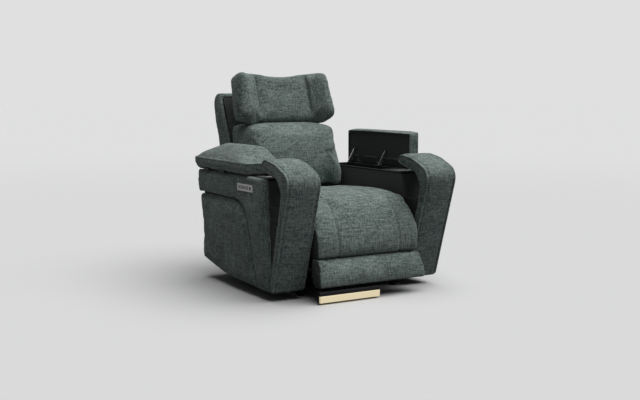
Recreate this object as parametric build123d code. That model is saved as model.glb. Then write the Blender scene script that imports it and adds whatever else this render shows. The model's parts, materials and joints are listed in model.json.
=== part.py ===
from build123d import *
import math
import os

# Power recliner: two padded arms with storage lids, a seat, a reclining back with a winged headrest,
# and a leg rest that swings out of the front. X is to the right seen from the front, Y to the back,
# Z up from the floor. "Right" is the +X side. Sizes are millimetres, angles degrees.

# Clearances
FIT = 0.3            # between seated or padded pieces
RUN = 0.05           # radial play of a pin in its bore

# Widths, from the centre plane
SEAT_HALF = 281.0    # half the width between the arms, less a gap
ARM_GAP = 10.0
ARM_WIDTH = 169.0
ARM_IN = SEAT_HALF + ARM_GAP
ARM_OUT = ARM_IN + ARM_WIDTH

# Arms
ARM_TOP = 556.0      # top of the dark trim under the lid
ARM_BASE = 40.0      # lower edge of the arm above the floor
TRIM = 8.0           # thickness of the top trim
SKIN = 20.0          # padding on the outer and rear faces
ARM_WALL = 16.0      # panel thickness of the arm frame
ARM_FRONT = -353.0   # front edge of the arm at its top
ARM_TOE = -387.0     # front edge of the arm at its base
ARM_HEEL = (352.0, 97.0)      # rear lower corner, lifted off the floor
ARM_WAIST = (385.0, 434.0)    # rear edge at the seam
ARM_SHOULDER = (402.0, 495.0)
ARM_BACK_TOP = 392.0
SEAM_HEIGHT = 434.0  # level stretch of the side seam
SEAM_CORNER = -133.0  # where the level and the steep stretch would meet
SEAM_TOE = -280.0    # steep stretch at floor level
SEAM_ROUND = 150.0
GROOVE = 3.0         # width of the seam groove

# Front pads, J-shaped in side view
PAD_GAP = 7.0        # between a front pad and the seat
PAD_IN = SEAT_HALF + PAD_GAP
PAD_OUT = ARM_OUT + 3
PAD_TOE = 41.0
PAD_FOOT = 18.0      # thickness of the pad at its lower end
PAD_TOE_FRONT = -410.0
PAD_LEAN = 0.307     # forward lean of the front face
PAD_BROW = 578.0     # height where the front and the curl would meet
PAD_SHOULDER = (-440.0, 634.0)
PAD_CREST = (-330.0, 652.0)
PAD_TIP = (-306.0, 600.0)
PAD_PALM = (-452.0, 562.0)    # under the curl
PAD_CROOK = (-500.0, 505.0)
PAD_EDGE = 8.0
LEDGE = 430.0        # top of the recessed infill behind the pad

# Storage box, cup holder and lid
BOX_IN = ARM_IN + 18
BOX_OUT = ARM_OUT - 38
BOX_FRONT = -138.0
BOX_REAR = 343.0
BOX_FLOOR = 385.0
LINER = 3.0
CUP_X = ARM_OUT - 85
CUP_Y = -222.0
CUP_R = 44.0
CUP_DEPTH = 78.0
CUP_WALL = 1.5
CUP_RIM = 8.0
HINGE_X = ARM_OUT + 5
HINGE_R = 5.0
HINGE_Z = ARM_TOP + HINGE_R + 1
HINGE_PIN_R = 2.5
HINGE_AT = (60.0, 250.0)
KNUCKLE = 20.0
LID_OPEN = 90.0
LID_BOARD = 12.0
LID_FRONT = -178.0
LID_REAR = 421.0
LID_GAP = 4.5        # from the arm's top to the cover's lower edge
LID_BOXING = 52.5    # upright lower part of the cover
LID_DOME = 86.0      # domed part above it
LID_LIP = ARM_TOP + LID_GAP
LID_SEAM = LID_LIP + LID_BOXING
LID_CREST = LID_SEAM + LID_DOME
LID_IN = ARM_IN - 4
LID_OUT = ARM_OUT + 12
LID_UNDER = HINGE_Z + 4       # underside of the board
LID_HEM = 6.0        # cover left round the board
STAY_AT = (28.0, 328.0)
STAY_REACH = 68.0    # from the lid hinge to the stay's pin
STAY_DROP = 10.0
STAY_LENGTH = 80.0
STAY_FOLD = 60.0     # turn of the stay on the lid over the lid's travel

# Seat and leg rest
SEAT_DECK = 330.0    # top of the seat frame
SEAT_FRONT = -350.0
SEAT_REAR = 215.0
SEAT_CREST = 476.0
SEAT_BACK_TOP = 446.0
SEAM_X = 168.0       # sewn seams on the seat and calf pad
STITCH = 4.0
WEB = 3.0
LEG_HINGE = (-381.0, 412.0)
ROLL_R = 46.5
CALF_END = (-517.0, 199.0)
FOOT_END = (-546.0, 72.0)
PAD_DEPTH = 70.0
BOARD_TOP = (-425.0, 345.0)   # front face of the leg board, bent between the two pads
BOARD_BEND = (CALF_END[0] + PAD_DEPTH, CALF_END[1])
BOARD_FOOT = (FOOT_END[0] + 58, FOOT_END[1])
LEG_BOARD = 12.0
BOARD_HALF = SEAT_HALF - 13
LEG_ARM_X = SEAT_HALF - 24
FOOT_FLARE = 10.0    # widening of the foot pad towards its lower end
LEG_ARM = 6.0

# Mechanism, side by side inside the rails
RAIL_OUT = SEAT_HALF - 6
RAIL = 25.0
PLATE_IN = RAIL_OUT - RAIL - 4
PLATE = 4.0
CRANK_X = PLATE_IN - 9
CRANK_WIDE = 5.0
LINK_X = CRANK_X - 8
LINK_WIDE = 5.0
EAR_X = LINK_X - 8
EAR_WIDE = 5.0
CRANK_AT = (-204.0, 217.0)
CRANK_R = 111.0
CRANK_REST = -60.0
TUBE_R = 11.0
LINK_PIN_R = 5.0
PUSH_AT = (-392.0, 290.0)   # pin on the leg rest
PUSH_PLAY = 12.0            # room round that pin, where the closed linkage is opened
LEVER_R = 75.0
LEVER_REST = -50.5
LEG_MOTOR_X = 110.0
LEG_MOTOR_Z = 150.0
BACK_HINGE = (264.0, 350.0)
BACK_PIN_R = 8.0
RECLINE = 42.0
RECLINE_LEVER = 130.0
RECLINE_Z = 224.0    # height of the recline motor's tube
RAM_R = 9.0
TUBE_WALL = 7.0

# Base
RAIL_BOTTOM = 45.0
RAIL_TOP = 80.0
RAIL_WALL = 3.0
CROSS_AT = (-327.0, 60.0, 292.0)
CROSS = 35.0
FOOT_R = 22.0

# Back and headrest
BACK_HALF = SEAT_HALF + 4
SHELL = 22.0
SHELL_TOP = 940.0
SHELL_BOTTOM = 130.0
LINE_Z = 455.0       # the front of the shell passes (LINE_Y, LINE_Z) and leans back
LINE_Y = 314.0
LINE_SLOPE = 0.42
REAR_Y = 404.0       # rear face at SHELL_BOTTOM
REAR_SLOPE = 0.2277
LINING = 10.0
POST_OUT = PLATE_IN - 6
POST_IN = POST_OUT - 22
POST_DEPTH = 40.0
POST_BOTTOM = 330.0
POST_TOP = 900.0
RAIL_SET = 10.0      # cross rails stand back from the front of the posts
CUSHION_HALF = SEAT_HALF - 1
CUSHION_TOP = 786.0
CUSHION_BOTTOM = 455.0
LUMBAR = (146.0, 585.0)
HEAD_LEAN = 20.0
HEAD_Y = 275.0
HEAD_Z = 797.0
HEAD_HEIGHT = 268.0
HEAD_DIP = 20.0      # hollow of the top edge
HEAD_HALF = SEAT_HALF + 3
HEAD_HALF_TOP = HEAD_HALF - 28
HEAD_DEPTH = 95.0
WING_CREASE = 150.0
WING_REACH = 48.0    # how far the wings stand in front of the centre panel
HEAD_HINGE = (420.0, 800.0)
HEAD_PIN_R = 6.0
HEAD_ARM_X = 120.0
HEAD_BOARD = 12.0

# Controls and light
PLATE_REAR = -68.0
PLATE_LENGTH = 160.0
PLATE_LOW = 484.0
PLATE_HIGH = 518.0
PLATE_MID = (PLATE_LOW + PLATE_HIGH) / 2
SOCKET_Y = PLATE_REAR - PLATE_LENGTH + 26
PLATE_SUNK = 10.0
PLATE_PROUD = 1.5
BUTTONS = 4
BUTTON_W = 20.0
BUTTON_H = 16.0
BUTTON_PITCH = 27.0
BUTTON_PROUD = 1.5
BUTTON_TRAVEL = 1.0
SOCKET_W = 22.0
LIGHT_LEFT = -294.0
LIGHT_RIGHT = 25.0
LIGHT_FRONT = -560.0
LIGHT_DEPTH = 28.0
LIGHT_BOTTOM = 8.0
LIGHT_TOP = 56.0
GLOW_TOP = 39.0
GLOW_DEPTH = 10.0


def side(*points, radius=0):
    """Face from points with rounded corners: (y, z) in side view, (x, z) in front view."""
    return make_face(FilletPolyline(*points, radius=radius, close=True))


def across(face, x0, x1):
    """Side-view face drawn out along X."""
    return extrude(Plane.YZ.offset(x0) * face, x1 - x0, dir=(1, 0, 0))


def along(face, y0, y1):
    """Front-view face, from (x, z) points, drawn out along Y."""
    return extrude(Plane.XZ.offset(-y0) * face, y1 - y0, dir=(0, 1, 0))


def block(x0, x1, y0, y1, z0, z1):
    return Pos((x0 + x1) / 2, (y0 + y1) / 2, (z0 + z1) / 2) * Box(x1 - x0, y1 - y0, z1 - z0)


def rod_x(x0, x1, y, z, r):
    return Pos((x0 + x1) / 2, y, z) * Rot(0, 90, 0) * Cylinder(r, x1 - x0)


def rod_y(y0, y1, x, z, r):
    return Pos(x, (y0 + y1) / 2, z) * Rot(90, 0, 0) * Cylinder(r, y1 - y0)


def rod_z(z0, z1, x, y, r):
    return Pos(x, y, (z0 + z1) / 2) * Cylinder(r, z1 - z0)


def other(shape):
    return mirror(shape, about=Plane.YZ)


def pair(shape):
    return shape + other(shape)


def polar(centre, r, angle):
    return (centre[0] + r * math.cos(math.radians(angle)), centre[1] + r * math.sin(math.radians(angle)))


def disc(centre, r):
    return Pos(centre[0], centre[1]) * Circle(r)


def bar(a, b, width):
    """Side-view bar with round ends from a to b."""
    length = math.dist(a, b)
    turn = math.degrees(math.atan2(b[1] - a[1], b[0] - a[0]))
    middle = ((a[0] + b[0]) / 2, (a[1] + b[1]) / 2)
    return Pos(*middle) * Rot(0, 0, turn) * SlotCenterToCenter(length, width)


def front_line(z):
    """Front face of the back shell at a height."""
    return LINE_Y + LINE_SLOPE * (z - LINE_Z)


def rear_line(z):
    """Rear face of the back shell at a height."""
    return REAR_Y + REAR_SLOPE * (z - SHELL_BOTTOM)


def save(name, shape):
    export_step(shape, f"parts/{name}.step")


# Arms, made for the right side and mirrored

def arm_outline(inset, lift, top):
    """Side view of an arm up to a height, with its rear and front edges drawn in and its base lifted."""
    heel, waist, shoulder = [(p[0] - inset, p[1]) for p in (ARM_HEEL, ARM_WAIST, ARM_SHOULDER)]
    step = min(inset, ARM_WALL) / 4
    return side((ARM_FRONT + step, top), (ARM_TOE + step, ARM_BASE + lift),
                (60, ARM_BASE + lift + 4), (heel[0], heel[1] + lift), waist, shoulder,
                (ARM_BACK_TOP - inset, top), radius=[4, 6, 1400, 24, 0, 30, 4])


def arm_cover():
    """Padding on the outer and rear faces, before it is parted at the seam."""
    reach = 150
    slope = (ARM_WAIST[0] - ARM_HEEL[0]) / (ARM_WAIST[1] - ARM_HEEL[1])
    heel = (ARM_HEEL[0] - SKIN - slope * reach, ARM_HEEL[1] - reach)
    core = side((ARM_TOE - reach, ARM_TOP + reach), (ARM_TOE - reach, heel[1]), heel,
                (ARM_WAIST[0] - SKIN, ARM_WAIST[1]), (ARM_SHOULDER[0] - SKIN, ARM_SHOULDER[1]),
                (ARM_BACK_TOP - SKIN, ARM_TOP - TRIM), (ARM_BACK_TOP - SKIN, ARM_TOP + reach))
    return across(arm_outline(0, 0, ARM_TOP), ARM_IN, ARM_OUT) - across(core, ARM_IN - 1, ARM_OUT - SKIN)


def seam_region(grow):
    """All of the side behind and below the curved seam."""
    far = 450
    region = side((far, SEAM_HEIGHT), (SEAM_CORNER, SEAM_HEIGHT), (SEAM_TOE, -20), (far, -20),
                  radius=[0, SEAM_ROUND, 0, 0])
    return across(offset(region, grow) if grow else region, ARM_IN - 5, ARM_OUT + 5)


def soften(part, radius):
    """Rounds the edges of the outer face."""
    return fillet(part.faces().sort_by(Axis.X)[-1].edges(), radius)


def arm_frame():
    lower = side((ARM_FRONT + 18, BOX_FLOOR + 65), (BOX_FRONT - 18, BOX_FLOOR + 65),
                 (BOX_FRONT - 18, BOX_FLOOR - ARM_WALL), (ARM_HEEL[0] - 30, BOX_FLOOR - ARM_WALL),
                 (ARM_HEEL[0] - 60, 0), (ARM_TOE + 22, 0))
    frame = across(arm_outline(SKIN + FIT, 12, ARM_TOP - TRIM), ARM_IN, ARM_OUT - SKIN)
    frame -= across(lower, ARM_IN + ARM_WALL, ARM_OUT - SKIN - ARM_WALL)
    frame -= block(BOX_IN - LINER, BOX_OUT + LINER, BOX_FRONT - LINER, BOX_REAR + LINER, BOX_FLOOR, ARM_TOP)
    return frame - rod_z(ARM_TOP - CUP_DEPTH - 4, ARM_TOP, CUP_X, CUP_Y, CUP_R + 2)


def arm_trim():
    edge = SKIN + FIT
    trim = block(ARM_IN, ARM_OUT - edge, ARM_FRONT, ARM_BACK_TOP - edge, ARM_TOP - TRIM, ARM_TOP)
    trim = fillet(trim.edges().filter_by(Axis.Z), 6)
    trim = fillet(trim.faces().sort_by(Axis.Z)[-1].edges(), 3)
    trim -= block(BOX_IN, BOX_OUT, BOX_FRONT, BOX_REAR, ARM_TOP - 20, ARM_TOP + 1)
    return trim - rod_z(ARM_TOP - 20, ARM_TOP + 1, CUP_X, CUP_Y, CUP_R + FIT)


def storage_liner():
    gap = LINER - FIT
    tray = block(BOX_IN - gap, BOX_OUT + gap, BOX_FRONT - gap, BOX_REAR + gap, BOX_FLOOR, ARM_TOP - TRIM)
    return tray - block(BOX_IN, BOX_OUT, BOX_FRONT, BOX_REAR, BOX_FLOOR + LINER, ARM_TOP)


def cup_holder():
    low = ARM_TOP - CUP_DEPTH
    cup = rod_z(low, ARM_TOP, CUP_X, CUP_Y, CUP_R)
    rim = rod_z(ARM_TOP, ARM_TOP + 3, CUP_X, CUP_Y, CUP_R + CUP_RIM)
    rim = fillet(rim.faces().sort_by(Axis.Z)[-1].edges(), 2)
    bore = rod_z(low + CUP_WALL, ARM_TOP + 4, CUP_X, CUP_Y, CUP_R - CUP_WALL)
    return cup + rim - bore


def front_pad():
    foot = (PAD_TOE_FRONT + PAD_FOOT, PAD_TOE)
    toe = (PAD_TOE_FRONT, PAD_TOE)
    brow = (PAD_TOE_FRONT - PAD_LEAN * (PAD_BROW - PAD_TOE), PAD_BROW)
    profile = side(foot, toe, brow, PAD_SHOULDER, PAD_CREST, PAD_TIP, PAD_PALM, PAD_CROOK,
                   radius=[4, 6, 62, 200, 30, 14, 50, 40])
    pad = across(profile, PAD_IN, PAD_OUT)
    ends = pad.faces().filter_by(Axis.X)
    return fillet(ends.edges(), PAD_EDGE)


def arm_infill():
    """Recessed wedge between the arm and the front pad, with a ledge on top."""
    foot = PAD_TOE_FRONT + PAD_FOOT
    low = ARM_BASE + 12
    run = (LEDGE - PAD_TOE) / (PAD_CROOK[1] - PAD_TOE)
    rear_run = (LEDGE - low) / (ARM_TOP - TRIM - low)
    ledge_front = foot + (PAD_CROOK[0] - foot) * run + FIT
    ledge_rear = ARM_TOE + (ARM_FRONT - ARM_TOE) * rear_run
    toe = foot + (PAD_CROOK[0] - foot) * (low - PAD_TOE) / (PAD_CROOK[1] - PAD_TOE) + FIT
    return across(side((ledge_front, LEDGE), (toe, low), (ARM_TOE + 0.5, low), (ledge_rear, LEDGE)),
                  PAD_IN + 15, ARM_OUT - SKIN)


# Lids, made shut on the right side

def lid_pillow():
    crest = LID_CREST
    long = side((LID_FRONT, LID_LIP), (LID_FRONT, LID_SEAM), (LID_FRONT + 140, crest - 6), (120, crest),
                (250, crest - 3), (LID_REAR - 40, crest - 31), (LID_REAR, LID_SEAM - 9),
                (LID_REAR - 12, LID_LIP), radius=[0, 10, 120, 300, 250, 90, 30, 0])
    outboard = [(LID_OUT - 4, LID_LIP), (LID_OUT, LID_LIP + 20), (LID_OUT - 2, LID_SEAM),
                (LID_OUT - 34, crest - 31), (LID_OUT - 84, crest + 4)]
    inboard = [(LID_IN + 33, crest + 2), (LID_IN + 7, crest - 23), (LID_IN, crest - 69),
               (LID_IN + 6, LID_LIP)]
    wide = side(*outboard, *inboard, radius=[0, 8, 10, 50, 80, 60, 25, 40, 0])
    return across(long, LID_IN - 5, LID_OUT + 5) & along(wide, LID_FRONT - 5, LID_REAR + 5)


def lid_board():
    return block(LID_IN + LID_HEM + 4, HINGE_X - 10, LID_FRONT + LID_HEM, LID_REAR - 30, LID_UNDER,
                 LID_UNDER + LID_BOARD)


def lid_pad():
    """Cover and filling, hollow below for the board, the hinges and the stays."""
    low = LID_LIP - 1
    hollow = block(LID_IN + LID_HEM + 4, BOX_OUT + 4, LID_FRONT + LID_HEM, LID_REAR - 30, low, LID_UNDER)
    for y in HINGE_AT:
        hollow += block(BOX_OUT, LID_OUT + 1, y - 2, y + 3 * KNUCKLE + 2, low, HINGE_Z + HINGE_R + 1)
    return lid_pillow() - lid_board() - hollow


def knuckles(starts, bore):
    rolls = [rod_y(y, y + KNUCKLE - FIT, HINGE_X, HINGE_Z, HINGE_R) for y in starts]
    cuts = [rod_y(y - 1, y + KNUCKLE + 1, HINGE_X, HINGE_Z, bore) for y in starts]
    return rolls, cuts


def arm_leaves():
    """Hinge leaves on the trim, with their pins."""
    shape = Part()
    for y in HINGE_AT:
        leaf = block(BOX_OUT + 4, HINGE_X, y, y + 3 * KNUCKLE - FIT, ARM_TOP, ARM_TOP + 2)
        rolls, _ = knuckles((y, y + 2 * KNUCKLE), HINGE_PIN_R)
        gap = block(HINGE_X - HINGE_R - 1, HINGE_X + 1, y + KNUCKLE - FIT, y + 2 * KNUCKLE, ARM_TOP, HINGE_Z)
        leaf = leaf - gap + rolls[0] + rolls[1]
        shape += leaf + rod_y(y, y + 3 * KNUCKLE - FIT, HINGE_X, HINGE_Z, HINGE_PIN_R)
    return shape


def lid_leaves():
    """Hinge leaves under the board, one knuckle each, and the ears that hold the stays."""
    under = LID_UNDER
    shape = Part()
    for y in HINGE_AT:
        leaf = block(BOX_OUT + 4, HINGE_X, y + KNUCKLE, y + 2 * KNUCKLE - FIT, under - 2, under)
        rolls, cuts = knuckles((y + KNUCKLE,), HINGE_PIN_R + RUN)
        shape += leaf + rolls[0] - cuts[0]
    for y in STAY_AT:
        x, z = HINGE_X - STAY_REACH, HINGE_Z - STAY_DROP
        ear = block(x - 7, x + 7, y + 4, y + 8, z - 7, under)
        pin = rod_y(y - 4, y + 4, x, z, HINGE_PIN_R)
        shape += ear + pin
    return shape


def lid_stays():
    """Flat bars that hang from the ears into the storage box."""
    shape = Part()
    x, top = HINGE_X - STAY_REACH, HINGE_Z - STAY_DROP
    for y in STAY_AT:
        face = Pos(x, top - STAY_LENGTH / 2) * Rot(0, 0, 90) * SlotCenterToCenter(STAY_LENGTH, 13)
        shape += along(face, y - 3, y + 3.5) - rod_y(y - 5, y + 5, x, top, HINGE_PIN_R + RUN)
    return shape


def turn_y(shape, x, z, angle):
    return shape.rotate(Axis((x, 0, z), (0, 1, 0)), angle)


# Seat, leg rest and their frames

def seat_profile(drop):
    return side((SEAT_FRONT, SEAT_DECK + WEB + FIT), (SEAT_REAR, SEAT_DECK + WEB + FIT),
                (SEAT_REAR, SEAT_BACK_TOP - drop), (SEAT_FRONT + 100, SEAT_CREST - drop),
                (SEAT_FRONT, SEAT_CREST - 10 - drop), radius=[6, 20, 20, 500, 0])


def crown(half, low, high):
    """Front-view outline with a crowned top, round shoulders and slightly bowed sides."""
    mid = (low + high) / 2 - 20
    hip, shoulder = (half - 6, high - 52), (half - 78, high - 5)
    right = [ThreePointArc((half - 7, low), (half, mid), hip),
             ThreePointArc(hip, (half - 24, high - 20), shoulder)]
    left = [mirror(edge, about=Plane.YZ) for edge in right]
    top = ThreePointArc(shoulder, (0, high), (-shoulder[0], shoulder[1]))
    return make_face([Line((7 - half, low), (half - 7, low)), *right, top, *left])


def stitches(profile, lowered):
    strip = across(profile, SEAM_X - 1.5, SEAM_X + 1.5) - across(lowered, SEAM_X - 2, SEAM_X + 2)
    return pair(strip)


def seat_cushion():
    form = crown(SEAT_HALF, SEAT_DECK, SEAT_CREST + 1)
    pad = across(seat_profile(0), -SEAT_HALF, SEAT_HALF) & along(form, SEAT_FRONT - 5, SEAT_REAR + 5)
    pad -= rod_x(-ARM_IN, ARM_IN, *LEG_HINGE, ROLL_R + 0.5)
    notch = block(RAIL_OUT - 8, ARM_IN, SEAT_FRONT - 5, -284, SEAT_DECK - 5, LEG_HINGE[1] + 20)
    return pad - pair(notch) - stitches(seat_profile(-40), seat_profile(STITCH))


def calf_outline(drop):
    start = (LEG_HINGE[0], LEG_HINGE[1] + ROLL_R - 0.5 - drop)
    end = (CALF_END[0] + drop, CALF_END[1])
    outer = ThreePointArc(start, (-476 + drop, 370 - drop), end)
    return make_face([outer, Line(end, BOARD_BEND), Line(BOARD_BEND, BOARD_TOP), Line(BOARD_TOP, LEG_HINGE),
                      Line(LEG_HINGE, start)])


def leg_arm_face():
    return side(polar(LEG_HINGE, 22, 100), polar(LEG_HINGE, 24, 200), (-418, 342), (-440, 200), (-420, 196),
                (-392, 335), polar(LEG_HINGE, 24, -30), radius=[8, 8, 8, 5, 5, 20, 8])


def calf_pad():
    half = SEAT_HALF
    top = LEG_HINGE[1] + ROLL_R + 12
    plan = side((6 - half, 150), (half - 6, 150), (half, 300), (half - 6, top), (6 - half, top), (-half, 300),
                radius=[10, 10, 300, 60, 60, 300])
    pad = across(calf_outline(0), -half, half) + rod_x(-half, half, *LEG_HINGE, ROLL_R)
    pad &= along(plan, -600, -300)
    relief = across(disc(LEG_HINGE, ROLL_R + 4), LEG_ARM_X - 1, ARM_IN)
    relief += across(offset(leg_arm_face(), 1), LEG_ARM_X - 1, LEG_ARM_X + LEG_ARM + 1)
    return pad - pair(relief) - stitches(calf_outline(-30), calf_outline(STITCH))


def foot_pad():
    half = SEAT_HALF
    top = (CALF_END[0] + 1, CALF_END[1] - 4)
    share = (BOARD_BEND[1] - top[1]) / (BOARD_BEND[1] - BOARD_FOOT[1])
    inner = (BOARD_BEND[0] + (BOARD_FOOT[0] - BOARD_BEND[0]) * share, top[1])
    face = make_face([ThreePointArc(top, (-541, 132), FOOT_END), Line(FOOT_END, BOARD_FOOT),
                      Line(BOARD_FOOT, inner), Line(inner, top)])
    low, high = FOOT_END[1] - 1, top[1] + 1
    mid = (low + high) / 2
    flank = ThreePointArc((half + FOOT_FLARE, low), (half + FOOT_FLARE - 3, mid), (half - 4, high))
    plan = make_face([Line((-half - FOOT_FLARE, low), (half + FOOT_FLARE, low)), flank,
                      Line((half - 4, high), (4 - half, high)), mirror(flank, about=Plane.YZ)])
    wide = half + FOOT_FLARE + 1
    return across(face, -wide, wide) & along(plan, -600, -300)


def leg_board():
    """Bent board behind both leg pads."""
    front = (BOARD_TOP, BOARD_BEND, BOARD_FOOT)
    rear = [(y + LEG_BOARD, z - 2) for y, z in reversed(front)]
    return across(side(*front, *rear), -BOARD_HALF, BOARD_HALF)


def leg_arms():
    """Hinge arms and push link ears behind the board."""
    back = [(y + LEG_BOARD, z - 2) for y, z in (BOARD_TOP, BOARD_BEND)]
    high = back[0][1] + 40
    front = side((-600, high), (back[0][0] + 6.2, high), *back, (-600, back[1][1]))
    arm = across(leg_arm_face(), LEG_ARM_X, LEG_ARM_X + LEG_ARM) - across(front, EAR_X - 20, ARM_IN)
    arm -= rod_x(LEG_ARM_X - 7, LEG_ARM_X + LEG_ARM + 7, *LEG_HINGE, BACK_PIN_R + RUN)
    lug = side(back[0], (back[1][0] + 6, back[1][1] + 40), polar(PUSH_AT, 12, -60), polar(PUSH_AT, 12, 60),
               radius=[0, 0, 8, 8])
    ear = across(lug, EAR_X, EAR_X + EAR_WIDE)
    ear -= across(side((-600, back[0][1]), *back, (-600, back[1][1])), EAR_X - 20, ARM_IN)
    pin = rod_x(EAR_X, LINK_X + LINK_WIDE + 2, *PUSH_AT, LINK_PIN_R)
    return pair(arm) + pair(ear + pin)


def leg_bracket():
    plate = side((-332, 292), (-292, 292), (-292, 335), polar(LEG_HINGE, 22, 40), polar(LEG_HINGE, 22, 130),
                 polar(LEG_HINGE, 22, 220), (-345, 320), radius=[4, 4, 20, 12, 12, 12, 30])
    x = RAIL_OUT - 7
    return across(plate, x, x + 4) + rod_x(LEG_ARM_X - 1, x, *LEG_HINGE, BACK_PIN_R)


def seat_frame():
    outer = block(-(RAIL_OUT - 7), RAIL_OUT - 7, -345, 165, SEAT_DECK - 40, SEAT_DECK)
    inside = RAIL_OUT - 39
    return outer - block(-inside, inside, -318, 138, SEAT_DECK - 45, SEAT_DECK + 5)


def seat_webbing():
    pitch = SEAT_HALF * 0.32
    high = SEAT_DECK + WEB
    straps = [block(n * pitch - 30, n * pitch + 30, -340, 160, SEAT_DECK, high) for n in range(-2, 3)]
    return Compound(straps)


# Mechanism

def mechanism_plate():
    outline = side((-315, 290), (-240, 195), (-175, 48), (120, 48), (205, 220), polar(BACK_HINGE, 36, -20),
                   polar(BACK_HINGE, 36, 60), polar(BACK_HINGE, 36, 140), (200, 290),
                   radius=[4, 30, 10, 30, 60, 14, 14, 14, 40])
    x0, x1 = PLATE_IN - 6, PLATE_IN + PLATE + 10
    plate = across(outline, PLATE_IN, PLATE_IN + PLATE) - rod_x(x0, x1, *CRANK_AT, TUBE_R + RUN)
    plate -= block(x0, x1, CROSS_AT[1] - CROSS / 2 - FIT, CROSS_AT[1] + CROSS / 2 + FIT, 0, RAIL_TOP + FIT)
    hole = across(side((-80, 110), (70, 110), (110, 240), (-110, 240), radius=30), x0, x1)
    return plate - hole - rod_x(x0, x1, *BACK_HINGE, BACK_PIN_R + RUN)


def back_pin():
    pin = rod_x(POST_OUT - 8, PLATE_IN + PLATE, *BACK_HINGE, BACK_PIN_R)
    return pin + rod_x(POST_OUT + FIT, PLATE_IN, *BACK_HINGE, BACK_PIN_R + 5)


def crank_pin():
    return polar(CRANK_AT, CRANK_R, CRANK_REST)


def drive_tube():
    """Tube across the chair with a crank at each end and the motor's lever."""
    tube = rod_x(-PLATE_IN - PLATE - 4, PLATE_IN + PLATE + 4, *CRANK_AT, TUBE_R)
    crank = across(bar(CRANK_AT, crank_pin(), 30), CRANK_X, CRANK_X + CRANK_WIDE)
    crank += rod_x(LINK_X - 2, CRANK_X + CRANK_WIDE, *crank_pin(), LINK_PIN_R)
    tip = polar(CRANK_AT, LEVER_R, LEVER_REST)
    lever = Part()
    for x in (LEG_MOTOR_X - 12, LEG_MOTOR_X + 7):
        lever += across(bar(CRANK_AT, tip, 26), x, x + 5)
    lever += rod_x(LEG_MOTOR_X - 12, LEG_MOTOR_X + 12, *tip, LINK_PIN_R)
    return tube + pair(crank) + lever


def push_link():
    eye = PUSH_PLAY + LINK_PIN_R
    face = bar(crank_pin(), PUSH_AT, 24) + disc(PUSH_AT, eye + 6)
    face = face - disc(crank_pin(), LINK_PIN_R + RUN) - disc(PUSH_AT, eye)
    return across(face, LINK_X, LINK_X + LINK_WIDE)


def actuator(x, z, tube_y, block_y, motor_side):
    """Tube with a gear head on the base rail and a motor beside it."""
    y0, y1 = tube_y
    r = RAM_R + TUBE_WALL
    body = rod_y(y0, y1, x, z, r)
    head = block(x - 22, x + 22, block_y - 28, block_y + 28, RAIL_TOP, z + 20)
    head = fillet(head.edges().filter_by(Axis.Y), 6)
    motor = rod_x(*sorted((x + motor_side * 22, x + motor_side * 92)), block_y, z - 2, 19)
    motor = chamfer(motor.faces().sort_by(Axis.X)[-1 if motor_side > 0 else 0].edges(), 3)
    return body + head + motor


def leg_motor():
    body = actuator(LEG_MOTOR_X, LEG_MOTOR_Z, (-20, 150), CROSS_AT[1], 1)
    return body - rod_y(-30, 140, LEG_MOTOR_X, LEG_MOTOR_Z, RAM_R + FIT)


def leg_ram():
    tip = polar(CRANK_AT, LEVER_R, LEVER_REST)
    low = CRANK_AT[1] - LEVER_R - LINK_PIN_R - 3
    high = tip[1] + LINK_PIN_R + 3
    fork = block(LEG_MOTOR_X - 4, LEG_MOTOR_X + 4, tip[0] - 18, tip[0] + 24, low - 9, high + 9)
    fork -= block(LEG_MOTOR_X - 5, LEG_MOTOR_X + 5, tip[0] - 9, tip[0] + 9, low, high)
    return fork + rod_y(tip[0] + 20, 125, LEG_MOTOR_X, LEG_MOTOR_Z, RAM_R)


def recline_pin():
    return polar(BACK_HINGE, RECLINE_LEVER, -90 + RECLINE / 2)


def recline_motor():
    body = actuator(0, RECLINE_Z, (-120, 180), CROSS_AT[1], -1)
    return body - rod_y(-105, 190, 0, RECLINE_Z, RAM_R + FIT)


def recline_ram():
    y, z = recline_pin()
    low = BACK_HINGE[1] - RECLINE_LEVER - LINK_PIN_R - 3
    high = z + LINK_PIN_R + 3
    fork = block(-4, 4, y - 24, y + 16, low - 8, high + 8)
    fork -= block(-5, 5, y - 8, y + 8, low, high)
    return fork + rod_y(55, y - 20, 0, RECLINE_Z, RAM_R)


# Base

def base_frame():
    """Channel section rails and cross members, open below."""
    def channel(x0, x1, y0, y1, wall):
        low = RAIL_BOTTOM - 5 * (wall > 0)
        return block(x0 + wall, x1 - wall, y0 + wall, y1 - wall, low, RAIL_TOP - wall)

    y0, y1 = CROSS_AT[0] - CROSS / 2, CROSS_AT[2] + CROSS / 2
    spans = [(RAIL_OUT - RAIL, RAIL_OUT, y0, y1), (-RAIL_OUT, RAIL - RAIL_OUT, y0, y1)]
    spans += [(-ARM_IN, ARM_IN, y - CROSS / 2, y + CROSS / 2) for y in CROSS_AT]
    solid, hollow = Part(), Part()
    for span in spans:
        solid += channel(*span, 0)
        hollow += channel(*span, RAIL_WALL)
    return solid - hollow


def feet():
    shape = Part()
    x = RAIL_OUT - RAIL / 2
    for y in (CROSS_AT[0], CROSS_AT[2]):
        pad = Pos(0, 0, 6) * Cylinder(FOOT_R, 12)
        pad = chamfer(pad.edges().sort_by(Axis.Z)[0], 2)
        cone = Pos(0, 0, 12 + (RAIL_BOTTOM - 12) / 2) * Cone(FOOT_R - 4, FOOT_R - 7, RAIL_BOTTOM - 12)
        stem = rod_z(RAIL_BOTTOM, RAIL_TOP - RAIL_WALL, 0, 0, 8)
        shape += pair(Pos(x, y, 0) * (pad + cone + stem))
    return shape


def power_inlet():
    y = CROSS_AT[2] + CROSS / 2
    body = fillet(block(150, 186, y, y + 22, 50, 76).edges().filter_by(Axis.Y), 5)
    return body - rod_y(y + 6, y + 23, 168, 63, 8)


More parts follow.
